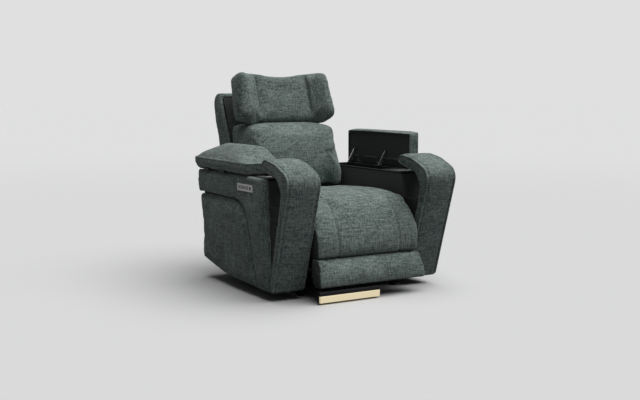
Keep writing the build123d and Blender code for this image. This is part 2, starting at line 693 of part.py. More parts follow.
def light_housing():
    rear = LIGHT_FRONT + LIGHT_DEPTH
    case = block(LIGHT_LEFT, LIGHT_RIGHT, LIGHT_FRONT, rear, LIGHT_BOTTOM, LIGHT_TOP)
    case = fillet(case.edges().filter_by(Axis.X), 3)
    case -= block(LIGHT_LEFT - 1, LIGHT_RIGHT + 1, LIGHT_FRONT - 1, LIGHT_FRONT + GLOW_DEPTH, 0, GLOW_TOP)
    front = CROSS_AT[0] - CROSS / 2
    for x in (LIGHT_LEFT + 60, LIGHT_RIGHT - 60):
        case += block(x - 13, x + 13, rear, front, LIGHT_TOP - 6, LIGHT_TOP)
    return case


def light_diffuser():
    rear = LIGHT_FRONT + GLOW_DEPTH - FIT
    lens = block(LIGHT_LEFT, LIGHT_RIGHT, LIGHT_FRONT - 2, rear, LIGHT_BOTTOM, GLOW_TOP - FIT)
    return fillet(lens.faces().sort_by(Axis.Y)[0].edges(), 2)


# Controls on the outside of the left arm

def plate_box(grow, x0, x1):
    front = PLATE_REAR - PLATE_LENGTH
    return block(x0, x1, front - grow, PLATE_REAR + grow, PLATE_LOW - grow, PLATE_HIGH + grow)


def button_centres():
    return [PLATE_REAR - 22 - i * BUTTON_PITCH for i in range(BUTTONS)]


def key(y, width, height, x0, x1):
    return block(x0, x1, y - width / 2, y + width / 2, PLATE_MID - height / 2, PLATE_MID + height / 2)


def control_plate():
    face = -ARM_OUT - PLATE_PROUD
    plate = plate_box(0, face, -ARM_OUT + PLATE_SUNK)
    plate = fillet(plate.edges().filter_by(Axis.X), 4)
    for y in button_centres():
        plate -= key(y, BUTTON_W + 2 * FIT, BUTTON_H + 2 * FIT, face - 1, face + 7)
    return plate - key(SOCKET_Y, SOCKET_W + FIT, BUTTON_H + FIT, face - 1, face + 7)


def button(y):
    face = -ARM_OUT - PLATE_PROUD
    cap = key(y, BUTTON_W, BUTTON_H, face - BUTTON_PROUD, face + 7 - BUTTON_TRAVEL - 0.5)
    return fillet(cap.faces().sort_by(Axis.X)[0].edges(), 1)


def socket_insert():
    face = -ARM_OUT - PLATE_PROUD
    body = key(SOCKET_Y, SOCKET_W, BUTTON_H, face - 0.5, face + 7)
    return body - key(SOCKET_Y, 13, 6, face - 2, face + 5)


# Back and headrest

def back_shell():
    """Upholstered tray: rear panel, side walls and top, open at the front and below."""
    outer = side((front_line(SHELL_TOP), SHELL_TOP), (LINE_Y, LINE_Z), (330, 300), (380, SHELL_BOTTOM),
                 (REAR_Y, SHELL_BOTTOM), (rear_line(SHELL_TOP), SHELL_TOP), radius=[14, 40, 80, 6, 8, 42])
    inner = side((100, SHELL_TOP - SHELL), (100, 0), (rear_line(0) - SHELL, 0),
                 (rear_line(SHELL_TOP - SHELL) - SHELL, SHELL_TOP - SHELL), radius=[0, 0, 0, 24])
    shell = across(outer, -BACK_HALF, BACK_HALF)
    shell = fillet(shell.faces().filter_by(Axis.X).edges(), 9)
    return shell - across(inner, SHELL - BACK_HALF, BACK_HALF - SHELL)


def back_lining():
    low, high = LINE_Z, SHELL_TOP - SHELL - FIT
    panel = side((front_line(low), low), (front_line(low) + LINING, low), (front_line(high) + LINING, high),
                 (front_line(high), high))
    half = BACK_HALF - SHELL - FIT
    return across(panel, -half, half)


def back_frame():
    shift = LINING
    low, high = front_line(POST_BOTTOM) + shift, front_line(POST_TOP) + shift
    post = side((low, POST_BOTTOM), (low + POST_DEPTH, POST_BOTTOM), (high + POST_DEPTH, POST_TOP),
                (high, POST_TOP))
    bore = offset(post, -RAIL_WALL, kind=Kind.INTERSECTION)
    frame = pair(across(post, POST_IN, POST_OUT) - across(bore, 0, POST_OUT - RAIL_WALL))
    for z, height in ((POST_BOTTOM, 34), (620, 40), (POST_TOP - 40, 40)):
        y = front_line(z + height / 2) + shift
        front, rear = y + RAIL_SET, y + POST_DEPTH - 8
        rail = block(-POST_IN, POST_IN, front, rear, z, z + height)
        frame += rail - block(-POST_OUT, POST_OUT, front + RAIL_WALL, rear + 8, z + RAIL_WALL,
                              z + height - RAIL_WALL)
    plate = side(polar(BACK_HINGE, 22, 180), polar(BACK_HINGE, 24, 260), (300, 330), (335, 420), (310, 425),
                 polar(BACK_HINGE, 24, 100), radius=[10, 10, 8, 6, 6, 10])
    frame += pair(across(plate, POST_OUT - 5, POST_OUT))
    frame -= pair(rod_x(POST_IN, POST_OUT + 5, *BACK_HINGE, BACK_PIN_R + RUN))
    tip = recline_pin()
    lever = side((286, 352), polar(tip, 13, 190), polar(tip, 13, 270), polar(tip, 13, 350), (316, 352),
                 radius=[4, 10, 8, 10, 4])
    frame += pair(across(lever, 7, 12)) + rod_x(-12, 12, *tip, LINK_PIN_R)
    return frame


def back_cushion():
    low_rear = (front_line(CUSHION_BOTTOM) - FIT, CUSHION_BOTTOM)
    top_rear = (front_line(CUSHION_TOP - 8) - FIT, CUSHION_TOP - 8)
    foot, brow, crest = (142, CUSHION_BOTTOM), (212, CUSHION_TOP - 41), (262, CUSHION_TOP)
    face = make_face([ThreePointArc(foot, LUMBAR, brow), ThreePointArc(brow, (228, CUSHION_TOP - 12), crest),
                      Line(crest, top_rear), Line(top_rear, low_rear), Line(low_rear, foot)])
    half = CUSHION_HALF
    ear, cap = (half - 8, CUSHION_TOP - 50), (half - 46, CUSHION_TOP - 12)
    right = [ThreePointArc((half - 8, CUSHION_BOTTOM), (half, 580), ear),
             ThreePointArc(ear, (half - 18, CUSHION_TOP - 23), cap)]
    left = [mirror(edge, about=Plane.YZ) for edge in right]
    plan = make_face([Line((8 - half, CUSHION_BOTTOM), (half - 8, CUSHION_BOTTOM)), *right,
                      ThreePointArc(cap, (0, CUSHION_TOP + 2), (-cap[0], cap[1])), *left])
    pad = across(face, -half, half) & along(plan, 100, 480)
    return pad & extrude(Plane.XY.offset(LINE_Z - 5) * lumbar_bow(half), 400, dir=(0, 0, 1))


def lumbar_bow(half):
    """Plan view that draws the cushion's front corners back from its middle."""
    rear, corner, cheek = (half, 480), (half, 250), (half - 84, 158)
    bend = ThreePointArc(corner, (half - 26, 196), cheek)
    return make_face([Line((-half, 480), rear), Line(rear, corner), bend,
                      ThreePointArc(cheek, (0, 136), (-cheek[0], cheek[1])), mirror(bend, about=Plane.YZ),
                      Line((-half, 250), (-half, 480))])


def head_plane():
    lean = math.radians(HEAD_LEAN)
    return Plane(origin=(0, HEAD_Y, HEAD_Z), x_dir=(1, 0, 0), z_dir=(0, math.sin(lean), math.cos(lean)))


def head_cushion():
    """Winged pillow: plan outline drawn up the lean, cut to its front outline and level below."""
    half, crease, reach, depth = HEAD_HALF, WING_CREASE, WING_REACH, HEAD_DEPTH
    right = [(crease, 0), (crease + 36, 5 - reach), (half - 20, -reach), (half, 16 - reach), (half + 2, 52),
             (half - 70, depth)]
    left = [(-x, y) for x, y in reversed(right)]
    rounds = [20, 40, 16, 14, 26, 60]
    outline = make_face(FilletPolyline(*right, *left, radius=rounds + rounds[::-1], close=True))
    plane = head_plane()
    pillow = extrude(plane.offset(-60) * outline, HEAD_HEIGHT + 80, dir=plane.z_dir)
    top, high = HEAD_HALF_TOP, HEAD_HEIGHT
    jaw, cheek, temple, brow = (half - 48, -4), (half, 44), (top + 8, high - 36), (top - 30, high)
    flank = [Line((half - 48, -50), jaw), ThreePointArc(jaw, (half - 14, 10), cheek), Line(cheek, temple),
             ThreePointArc(temple, (top - 2, high - 8), brow)]
    front = make_face([Line((48 - half, -50), (half - 48, -50)), *flank,
                       ThreePointArc(brow, (0, high - HEAD_DIP), (-brow[0], high)),
                       *[mirror(edge, about=Plane.YZ) for edge in flank]])
    upright = Plane(origin=plane.origin, x_dir=(1, 0, 0), z_dir=-plane.y_dir)
    pillow &= extrude(upright.offset(-150) * front, 300, dir=upright.z_dir)
    return pillow & block(-400, 400, 0, 700, HEAD_Z - 1, 1200)


def head_board():
    plane = head_plane()
    return extrude(plane.offset(22) * (Pos(0, HEAD_DEPTH + HEAD_BOARD / 2) * Rectangle(360, HEAD_BOARD)), 135,
                   dir=plane.z_dir)


def head_arms():
    """Arms behind the headrest board that turn on the bracket's pins."""
    plane = head_plane()
    behind = Pos(0, HEAD_DEPTH + HEAD_BOARD + 40) * Rectangle(400, 80)
    seat = extrude(plane.offset(26) * behind, 70, dir=plane.z_dir)
    arm = side(polar(HEAD_HINGE, 15, 300), polar(HEAD_HINGE, 15, 60), (410, 850), (360, 830), (360, 780),
               (395, 780), radius=[8, 8, 4, 0, 0, 4])
    arm = across(arm, HEAD_ARM_X, HEAD_ARM_X + 6) & seat
    return pair(arm - rod_x(HEAD_ARM_X - 2, HEAD_ARM_X + 8, *HEAD_HINGE, HEAD_PIN_R + RUN))


def head_bracket():
    """Ears on the lining that carry the headrest's pins."""
    low, high = 782, 822
    ear = side((front_line(low), low), (front_line(high), high), polar(HEAD_HINGE, 13, 110),
               polar(HEAD_HINGE, 13, 190), polar(HEAD_HINGE, 13, 270), radius=[0, 0, 8, 8, 8])
    ears = across(ear, HEAD_ARM_X + 7, HEAD_ARM_X + 12)
    return pair(ears + rod_x(HEAD_ARM_X - 4, HEAD_ARM_X + 7, *HEAD_HINGE, HEAD_PIN_R))


def main():
    os.makedirs("parts", exist_ok=True)
    cover = arm_cover()
    band = soften(cover - seam_region(GROOVE), 6)
    panel = soften(cover & seam_region(0), 6)
    pocket = plate_box(FIT, -ARM_OUT - 5, -ARM_OUT + PLATE_SUNK)
    save("right_arm_band", band)
    save("left_arm_band", other(band) - pocket)
    arm_pieces = {"side_panel": panel, "arm_frame": arm_frame(), "arm_trim": arm_trim(),
                  "front_pad": front_pad(), "arm_infill": arm_infill(), "storage_liner": storage_liner(),
                  "cup_holder": cup_holder()}
    lid_pieces = {"lid_pad": lid_pad(), "lid_board": lid_board(), "lid_fittings": lid_leaves()}
    for name, shape in {**arm_pieces, **lid_pieces, "lid_stays": lid_stays()}.items():
        save("left_" + name, other(shape))
    for name, shape in arm_pieces.items():
        save("right_" + name, shape)
    for name, shape in lid_pieces.items():
        save("right_" + name, turn_y(shape, HINGE_X, HINGE_Z, LID_OPEN))
    folded = turn_y(lid_stays(), HINGE_X - STAY_REACH, HINGE_Z - STAY_DROP, -STAY_FOLD)
    save("right_lid_stays", turn_y(folded, HINGE_X, HINGE_Z, LID_OPEN))

    save("lid_hinges", pair(arm_leaves()))
    save("seat_cushion", seat_cushion())
    save("seat_frame", seat_frame())
    save("seat_webbing", seat_webbing())
    save("calf_pad", calf_pad())
    save("foot_pad", foot_pad())
    save("leg_board", leg_board())
    save("leg_arms", leg_arms())
    save("leg_brackets", pair(leg_bracket()))

    save("mechanism_plates", pair(mechanism_plate()))
    save("back_pins", pair(back_pin()))
    save("drive_tube", drive_tube())
    save("push_links", pair(push_link()))
    save("leg_motor", leg_motor())
    save("leg_ram", leg_ram())
    save("recline_motor", recline_motor())
    save("recline_ram", recline_ram())

    save("base_frame", base_frame())
    save("feet", feet())
    save("power_inlet", power_inlet())
    save("light_housing", light_housing())
    save("light_diffuser", light_diffuser())

    save("control_plate", control_plate())
    save("socket_insert", socket_insert())
    for number, y in enumerate(button_centres(), 1):
        save(f"button_{number}", button(y))

    save("back_shell", back_shell())
    save("back_lining", back_lining())
    save("back_frame", back_frame())
    save("back_cushion", back_cushion())
    save("head_cushion", head_cushion())
    save("head_board", head_board())
    save("head_arms", head_arms())
    save("head_bracket", head_bracket())


if __name__ == "__main__":
    main()
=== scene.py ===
# %% [markdown]
# # A power recliner, from its solids to a finished picture
# The chair arrives as a set of exact solids, one for each piece, that already stand in the right
# place and carry the joints. This lesson keeps the hard pieces, gives them real finishes, and swaps
# every plain cushion solid for a soft, sewn one. All lengths are metres, the chair faces -Y.

# %% Load the solids
import bpy
import json
import math
import numpy as np
from mathutils import Matrix, Vector


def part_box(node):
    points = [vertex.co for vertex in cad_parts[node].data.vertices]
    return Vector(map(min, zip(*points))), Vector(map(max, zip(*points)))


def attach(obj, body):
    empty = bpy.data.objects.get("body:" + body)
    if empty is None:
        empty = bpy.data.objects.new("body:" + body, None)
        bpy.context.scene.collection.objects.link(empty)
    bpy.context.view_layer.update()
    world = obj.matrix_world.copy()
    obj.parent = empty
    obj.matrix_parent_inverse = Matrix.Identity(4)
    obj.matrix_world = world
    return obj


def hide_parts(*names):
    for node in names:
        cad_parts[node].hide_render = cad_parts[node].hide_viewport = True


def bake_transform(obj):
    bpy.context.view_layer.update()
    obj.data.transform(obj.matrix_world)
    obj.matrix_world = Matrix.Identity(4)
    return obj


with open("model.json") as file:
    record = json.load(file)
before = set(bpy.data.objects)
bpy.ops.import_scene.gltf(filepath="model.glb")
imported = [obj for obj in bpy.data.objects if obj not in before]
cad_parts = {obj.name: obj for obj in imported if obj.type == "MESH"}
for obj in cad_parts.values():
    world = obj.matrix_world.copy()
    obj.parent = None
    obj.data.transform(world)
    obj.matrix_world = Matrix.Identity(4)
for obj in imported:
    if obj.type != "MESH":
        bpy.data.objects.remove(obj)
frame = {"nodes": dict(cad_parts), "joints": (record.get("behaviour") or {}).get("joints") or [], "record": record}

X, Y, Z = range(3)
LOW, HIGH = range(2)
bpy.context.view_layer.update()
hinge_place = {joint["name"]: joint["pos_m"] for joint in frame["joints"] if joint["type"] == "hinge"}


def edge(name, axis, side):
    """Where a solid ends along an axis, on its low or high side, to a hundredth of a millimetre."""
    return round(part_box(name)[side][axis], 5)


# %% [markdown]
# ## The camera
# A picture of furniture is taken from about eye height, a few paces away, with a mild lens. The
# camera looks a little down and stands to the left of the chair, so that one arm shows its whole
# outer side and the other its inner wall. We aim it by an azimuth and a pitch instead of by dragging.

# %% Aim the camera
CAMERA_PLACE = (-2.4097, -4.1348, 0.9421)
CAMERA_AZIMUTH = 30.598          # degrees
CAMERA_PITCH = 6.439             # degrees below level
SENSOR_WIDTH = 36                # millimetres
FOCAL_PIXELS = 950               # focal length, in pixels of a picture of this width
PICTURE_WIDTH = 640
SIGHT = 100                      # how far the camera sees
bpy.ops.object.select_all(action="DESELECT")
bpy.ops.object.camera_add(location=CAMERA_PLACE)
camera = bpy.context.object
camera.rotation_euler = (math.radians(90 - CAMERA_PITCH), 0, math.radians(-CAMERA_AZIMUTH))
camera.data.sensor_width = SENSOR_WIDTH
camera.data.lens = SENSOR_WIDTH * FOCAL_PIXELS / PICTURE_WIDTH
camera.data.clip_end = SIGHT
bpy.context.scene.camera = camera
print("lens", round(camera.data.lens, 2), "mm")

# %% [markdown]
# ## Shader nodes
# Backdrop, floor and finishes are all drawn with shader nodes. A few small helpers keep that short:
# they add a node with its settings and with what goes into it, and they start a node group.

# %% Helpers for shader nodes
NODE_STEP = 220                  # distance between nodes on the sheet
MIX_SHARE, MIX_FIRST, MIX_SECOND, MIX_RESULT = 0, 6, 7, 2    # the sockets of a Mix node for colours


def grey(tone):
    """A colour with no hue."""
    return (tone, tone, tone, 1)


def feed(tree, made, inputs):
    """Gives inputs of a node, by name or number, a value or a link from a socket."""
    for name, value in inputs.items():
        if isinstance(value, bpy.types.NodeSocket):
            tree.links.new(value, made.inputs[name])
        else:
            made.inputs[name].default_value = value


def node(tree, kind, inputs=None, **settings):
    """Adds a node to the right of the others, sets its properties and feeds its inputs."""
    made = tree.nodes.new("ShaderNode" + kind)
    made.location = (NODE_STEP * len(tree.nodes), 0)
    for name, value in settings.items():
        setattr(made, name, value)
    feed(tree, made, inputs or {})
    return made


def maths(tree, operation, *values):
    """The result of a Math node on values or sockets."""
    return node(tree, "Math", dict(enumerate(values)), operation=operation).outputs[0]


def mixed(tree, share, first, second):
    """The colour that lies between two others by a share."""
    inputs = {MIX_SHARE: share, MIX_FIRST: first, MIX_SECOND: second}
    return node(tree, "Mix", inputs, data_type="RGBA").outputs[MIX_RESULT]


def start_group(name, **inputs):
    """A node group with its inputs, which gives a colour, a roughness and a height."""
    group = bpy.data.node_groups.new(name, "ShaderNodeTree")
    for key, kind in inputs.items():
        group.interface.new_socket(name=key, in_out="INPUT", socket_type="NodeSocket" + kind)
    for key, kind in (("Color", "Color"), ("Roughness", "Float"), ("Height", "Float")):
        group.interface.new_socket(name=key, in_out="OUTPUT", socket_type="NodeSocket" + kind)
    return group, group.nodes.new("NodeGroupInput").outputs


def end_group(group, color, roughness, height):
    """Leads a group's results to its outputs."""
    result = group.nodes.new("NodeGroupOutput")
    result.location = (NODE_STEP * len(group.nodes), 0)
    feed(group, result, {"Color": color, "Roughness": roughness, "Height": height})
    print(group.name, "has", len(group.nodes), "nodes")


def seen_directly(tree):
    """A mask that is 1 for what the camera sees, also in metal, and 0 for light that bounces."""
    rays = node(tree, "LightPath").outputs
    mask = rays["Is Camera Ray"]
    for kind in ("Is Glossy Ray", "Is Transmission Ray"):
        mask = maths(tree, "MAXIMUM", mask, rays[kind])
    return mask


print("shader helpers ready")

# %% [markdown]
# ## Light, floor and backdrop
# The studio is a pale sweep under one very broad lamp, high and a little to the right. Tops come out
# bright, fronts that lean forward fall dark, and the shadow on the floor is soft. A sun lamp gives the
# same light all over the floor, its wide angle makes it broad, and the world adds a weak fill. The
# camera sees a pale backdrop, while the light that bounces back from it is kept low, because a white
# room would wash out the dark cloth.

# %% Light the studio
KEY_FROM = Vector((0.29, -0.17, 0.94))
KEY_DISTANCE = 4
KEY_STRENGTH = 3.65
KEY_ANGLE = 72                   # degrees
FILL_TINT = (0.95, 0.98, 1.0, 1)
FILL_STRENGTH = 0.075
SWEEP_TONE = 0.745
scene = bpy.context.scene
scene.view_settings.view_transform = "Standard"
bpy.ops.object.light_add(type="SUN", location=KEY_FROM * KEY_DISTANCE)
key_lamp = bpy.context.object
key_lamp.rotation_euler = KEY_FROM.to_track_quat("Z", "Y").to_euler()
key_lamp.data.energy = KEY_STRENGTH
key_lamp.data.angle = math.radians(KEY_ANGLE)
scene.world = bpy.data.worlds.new("studio")
scene.world.use_nodes = True
tree = scene.world.node_tree
tree.nodes.clear()
fill = node(tree, "Background", {"Color": FILL_TINT, "Strength": FILL_STRENGTH})
sweep = node(tree, "Background", {"Color": grey(SWEEP_TONE), "Strength": 1.0})
both = node(tree, "MixShader", {"Fac": seen_directly(tree), 1: fill.outputs[0], 2: sweep.outputs[0]})
node(tree, "OutputWorld", {"Surface": both.outputs[0]})
print("key lamp", KEY_STRENGTH, "fill", FILL_STRENGTH)

# %% Lay the floor
FLOOR_SIZE = 120
FLOOR_DROP = 0.0005              # below the feet
FLOOR_NEAR = 0.602               # tones close to the chair and far away
FLOOR_FAR = 0.637
FADE_FROM = 3.5                  # distances between which the tone changes
FADE_TO = 11.0
FLOOR_BOUNCE = (0.16, 0.16, 0.165, 1)
FLOOR_ROUGHNESS = 0.8
bpy.ops.object.select_all(action="DESELECT")
bpy.ops.mesh.primitive_plane_add(size=FLOOR_SIZE, location=(0, 0, -FLOOR_DROP))
floor = bpy.context.object
floor.name = "studio_floor"
bpy.ops.object.transform_apply(location=True)
floor_finish = bpy.data.materials.new("pale_floor")
floor_finish.use_nodes = True
tree = floor_finish.node_tree
far = node(tree, "VectorMath", {0: node(tree, "TexCoord").outputs["Object"]}, operation="LENGTH")
fade = node(tree, "MapRange", {"Value": far.outputs["Value"], "From Min": FADE_FROM, "From Max": FADE_TO},
            interpolation_type="SMOOTHSTEP")
ground = mixed(tree, fade.outputs["Result"], grey(FLOOR_NEAR), grey(FLOOR_FAR))
feed(tree, tree.nodes["Principled BSDF"], {
    "Base Color": mixed(tree, seen_directly(tree), FLOOR_BOUNCE, ground),
    "Roughness": FLOOR_ROUGHNESS, "Specular IOR Level": 0.0})
floor.data.materials.append(floor_finish)
print("floor laid")

# %% [markdown]
# ## The chenille
# The cover is a dark green-grey chenille: short tufted yarns in two tones, woven so that light slubs
# run up and across it. A tileable picture would need a layout for every cushion. Instead, three
# stretched noises, one along each axis, are laid over each other, so the slubs run true on every
# face. The same group is used by each cloth with its own two colours.

# %% Build the chenille group
SLUB_FINE = 165.0                # noise scale across a slub
SLUB_LONG = 20.0                 # noise scale along it
SLUB_DETAIL = 2.0
SLUB_ROUGHNESS = 0.55
CLOUD_SCALE = 12.0               # a slow drift of tone over a cushion
CLOUD_DETAIL = 3.0
CLOUD_SHARE = 0.45
ALL_DARK = 1.34                  # sums of the noises at which the cloth has its dark and light tone
ALL_LIGHT = 2.11
DARK_ROUGHNESS = 0.98
LIGHT_ROUGHNESS = 0.82
chenille, tones = start_group("chenille_weave", Dark="Color", Light="Color")
place = node(chenille, "TexCoord").outputs["Object"]
slubs = []
for along in (X, Y, Z):
    scale = [SLUB_LONG if axis == along else SLUB_FINE for axis in (X, Y, Z)]
    stretch = node(chenille, "Mapping", {"Vector": place, "Scale": scale})
    yarn = node(chenille, "TexNoise", {"Vector": stretch.outputs["Vector"], "Scale": 1.0,
                                       "Detail": SLUB_DETAIL, "Roughness": SLUB_ROUGHNESS})
    slubs.append(yarn.outputs["Fac"])
woven = maths(chenille, "ADD", maths(chenille, "ADD", slubs[X], slubs[Y]), slubs[Z])
cloud = node(chenille, "TexNoise", {"Vector": place, "Scale": CLOUD_SCALE, "Detail": CLOUD_DETAIL})
drift = maths(chenille, "MULTIPLY_ADD", cloud.outputs["Fac"], CLOUD_SHARE, woven)
spread = node(chenille, "MapRange", {"Value": drift, "From Min": ALL_DARK, "From Max": ALL_LIGHT})
light = spread.outputs["Result"]
rough = node(chenille, "MapRange", {"Value": light, "To Min": DARK_ROUGHNESS, "To Max": LIGHT_ROUGHNESS})
end_group(chenille, mixed(chenille, light, tones["Dark"], tones["Light"]), rough.outputs["Result"], light)

# %% [markdown]
# ## A grain for plastics, boards and metals
# Moulded plastic, faced board and brushed metal all break up the light with a fine grain. One group
# serves them: a noise that can be stretched along one axis, which gives a tone, a roughness and a
# height.

# %% Build the grain group
SPECK_DETAIL = 3.0
SPECK_MEAN = 0.5
grain, given = start_group("fine_grain", Base="Color", Stretch="Vector", Roughness="Float", Vary="Float")
place = node(grain, "TexCoord").outputs["Object"]
stretch = node(grain, "VectorMath", {0: place, 1: given["Stretch"]}, operation="MULTIPLY")
noise = node(grain, "TexNoise", {"Vector": stretch.outputs["Vector"], "Scale": 1.0, "Detail": SPECK_DETAIL})
speck = noise.outputs["Fac"]
swing = maths(grain, "MULTIPLY", maths(grain, "SUBTRACT", speck, SPECK_MEAN), given["Vary"])
gain = maths(grain, "ADD", swing, 1.0)
tone = node(grain, "VectorMath", {0: given["Base"], "Scale": gain}, operation="SCALE")
end_group(grain, tone.outputs["Vector"], maths(grain, "ADD", given["Roughness"], swing), speck)

# %% [markdown]
# ## The finishes
# Each finish is one Principled shader that takes its colour, roughness and bump from a group. The
# cloth gets a soft sheen on the shader itself, because chenille pile catches light at a glance. The
# dark finishes have no mirror-like shine, which would show the pale room in them.

# %% Make the finishes
def finish(name, group, bump, bump_step, shader=None, **values):
    """A material whose colour, roughness and bump come from a group, fed with its own values."""
    made = bpy.data.materials.new(name)
    made.use_nodes = True
    tree = made.node_tree
    source = node(tree, "Group", values, node_tree=group).outputs
    relief = node(tree, "Bump", {"Strength": bump, "Distance": bump_step, "Height": source["Height"]})
    feed(tree, tree.nodes["Principled BSDF"], {
        "Base Color": source["Color"], "Roughness": source["Roughness"],
        "Normal": relief.outputs["Normal"], **(shader or {})})
    return made


MATT = {"Specular IOR Level": 0.0}
METAL = {"Metallic": 1.0}
upholstery = finish("chenille_green_grey", chenille, bump=0.35, bump_step=0.0018,
                    shader={"Sheen Weight": 0.15, "Sheen Roughness": 0.4, "Specular IOR Level": 0.2},
                    Dark=(0.042, 0.058, 0.053, 1), Light=(0.234, 0.288, 0.269, 1))
lining_cloth = finish("black_lining", chenille, bump=0.3, bump_step=0.0008, shader=MATT,
                      Dark=(0.040, 0.042, 0.041, 1), Light=(0.085, 0.089, 0.087, 1))
webbing = finish("woven_strap", chenille, bump=0.5, bump_step=0.001, Dark=(0.03, 0.03, 0.03, 1),
                 Light=(0.09, 0.09, 0.088, 1))
black_plastic = finish("black_moulding", grain, bump=0.15, bump_step=0.0004, shader=MATT,
                       Base=(0.032, 0.033, 0.033, 1), Stretch=(900, 900, 900), Roughness=0.75, Vary=0.25)
dark_board = finish("faced_board", grain, bump=0.2, bump_step=0.0005, shader=MATT,
                    Base=(0.095, 0.098, 0.096, 1), Stretch=(500, 90, 500), Roughness=0.75, Vary=0.3)
frame_wood = finish("cloth_faced_ply", grain, bump=0.2, bump_step=0.0005, shader=MATT,
                    Base=(0.100, 0.103, 0.101, 1), Stretch=(300, 300, 300), Roughness=0.85, Vary=0.3)
black_steel = finish("black_paint", grain, bump=0.1, bump_step=0.0003, shader={"Specular IOR Level": 0.1},
                     Base=(0.02, 0.02, 0.022, 1), Stretch=(700, 700, 700), Roughness=0.6, Vary=0.2)
motor_case = finish("motor_moulding", grain, bump=0.2, bump_step=0.0004, Base=(0.035, 0.036, 0.038, 1),
                    Stretch=(800, 800, 800), Roughness=0.55, Vary=0.2)
bright_zinc = finish("bright_zinc", grain, bump=0.08, bump_step=0.0003, shader=METAL,
                     Base=(0.36, 0.36, 0.37, 1), Stretch=(700, 60, 700), Roughness=0.3, Vary=0.18)
cup_metal = finish("spun_steel", grain, bump=0.08, bump_step=0.0003, shader=METAL,
                   Base=(0.2, 0.2, 0.205, 1), Stretch=(60, 60, 1500), Roughness=0.3, Vary=0.2)
plate_metal = finish("satin_plate", grain, bump=0.1, bump_step=0.0003, shader={"Metallic": 0.35},
                     Base=(0.42, 0.42, 0.43, 1), Stretch=(900, 60, 900), Roughness=0.5, Vary=0.2)
button_metal = finish("button_cap", grain, bump=0.1, bump_step=0.0003, Base=(0.16, 0.16, 0.165, 1),
                      Stretch=(900, 900, 900), Roughness=0.4, Vary=0.2)
glow = finish("lit_diffuser", grain, bump=0.05, bump_step=0.0003,
              shader={"Emission Color": (1.0, 0.86, 0.56, 1), "Emission Strength": 0.4},
              Base=(0.76, 0.66, 0.45, 1), Stretch=(60, 60, 60), Roughness=0.5, Vary=0.06)
FINISHES = {"upholstery": upholstery, "dark_cloth": lining_cloth, "frame_wood": frame_wood,
            "dark_board": dark_board, "dark_trim": black_plastic, "cup_metal": cup_metal,
            "zinc": bright_zinc, "plate_metal": plate_metal, "button_metal": button_metal,
            "black_steel": black_steel, "motor_case": motor_case, "foot_plastic": black_plastic,
            "webbing": webbing, "glow": glow}
print("finishes:", len(FINISHES))

# %% Put the finishes on the hard pieces
slot_of = {part["node"]: part["material_slot"] for part in frame["record"]["subparts"]}
OWN_FINISH = {"left_lid_fittings": black_steel, "right_lid_fittings": black_steel,
              "socket_insert": button_metal}
for name, solid in frame["nodes"].items():
    solid.data.materials.clear()
    solid.data.materials.append(OWN_FINISH.get(name, FINISHES[slot_of[name]]))
print("finished", len(slot_of), "solids")

# %% [markdown]
# ## From a solid to a cushion
# A cushion is a closed cover, cut a little tight and blown out by its filling. We start from a copy
# of the plain solid, rebuild its skin as an even net, and let a cloth simulation press it outwards
# from inside. Points on hidden faces and along the seams are pinned, so the cover swells between
# them, as sewn cloth does. A cap keeps each point near its start.

# %% Helpers that read and move points
MERGE = 0.00002                  # points nearer than this are one
TINY = 1e-9


def alone(piece):
    """Makes one piece the only selected and active one."""
    bpy.ops.object.select_all(action="DESELECT")
    piece.hide_set(False)
    piece.select_set(True)
    bpy.context.view_layer.objects.active = piece


def joined(pieces):
    """Joins pieces into the first one."""
    bpy.ops.object.select_all(action="DESELECT")
    for piece in pieces:
        piece.select_set(True)
    bpy.context.view_layer.objects.active = pieces[0]
    if len(pieces) > 1:
        bpy.ops.object.join()
    return bpy.context.object


def cut_from(name, *solids):
    """A new piece with the merged skins of some solids."""
    copies = []
    for solid in solids:
        copy = bpy.data.objects.new(name, frame["nodes"][solid].data.copy())
        bpy.context.collection.objects.link(copy)
        copies.append(copy)
    piece = joined(copies)
    piece.name = name
    bpy.ops.object.mode_set(mode="EDIT")
    bpy.ops.mesh.select_all(action="SELECT")
    bpy.ops.mesh.remove_doubles(threshold=MERGE)
    bpy.ops.object.mode_set(mode="OBJECT")
    piece.data.materials.clear()
    return piece


def twin(piece, name, change):
    """A copy with its own mesh, moved by a matrix; a mirrored one is turned right side out."""
    copy = bpy.data.objects.new(name, piece.data.copy())
    bpy.context.collection.objects.link(copy)
    copy.data.transform(change)
    if change.determinant() < 0:
        copy.data.flip_normals()
    return copy


def points(piece):
    """The x, the y and the z of all points of a piece."""
    found = np.empty(len(piece.data.vertices) * 3)
    piece.data.vertices.foreach_get("co", found)
    return found.reshape(-1, 3).T


def place_points(piece, x, y, z):
    """Moves all points of a piece to new places."""
    piece.data.vertices.foreach_set("co", np.column_stack((x, y, z)).ravel())
    piece.data.update()


def normals(piece):
    """The x, the y and the z of the normals at all points of a piece."""
    found = np.empty(len(piece.data.vertices) * 3, np.float32)
    piece.data.vertex_normals.foreach_get("vector", found)
    return found.reshape(-1, 3).T.astype(float)


def faces(piece, what):
    """The x, the y and the z of all faces' normals or centres."""
    found = np.empty(len(piece.data.polygons) * 3, np.float32)
    piece.data.polygons.foreach_get(what, found)
    return found.reshape(-1, 3).T


def smoothstep(value, low, high):
    """A soft step from 0 at low to 1 at high."""
    share = np.clip((value - low) / (high - low), 0, 1)
    return share * share * (3 - 2 * share)


def between(value, rise, fall):
    """A soft step up over one range and down over another."""
    return smoothstep(value, *rise) * (1 - smoothstep(value, *fall))


def quarter_round(share):
    """The drop of a quarter circle, from 0 to 1 as the share goes from 0 to 1."""
    return 1 - np.sqrt(1 - share ** 2)


ACROSS = Matrix.Scale(-1, 4, (1, 0, 0))
print("point helpers ready")

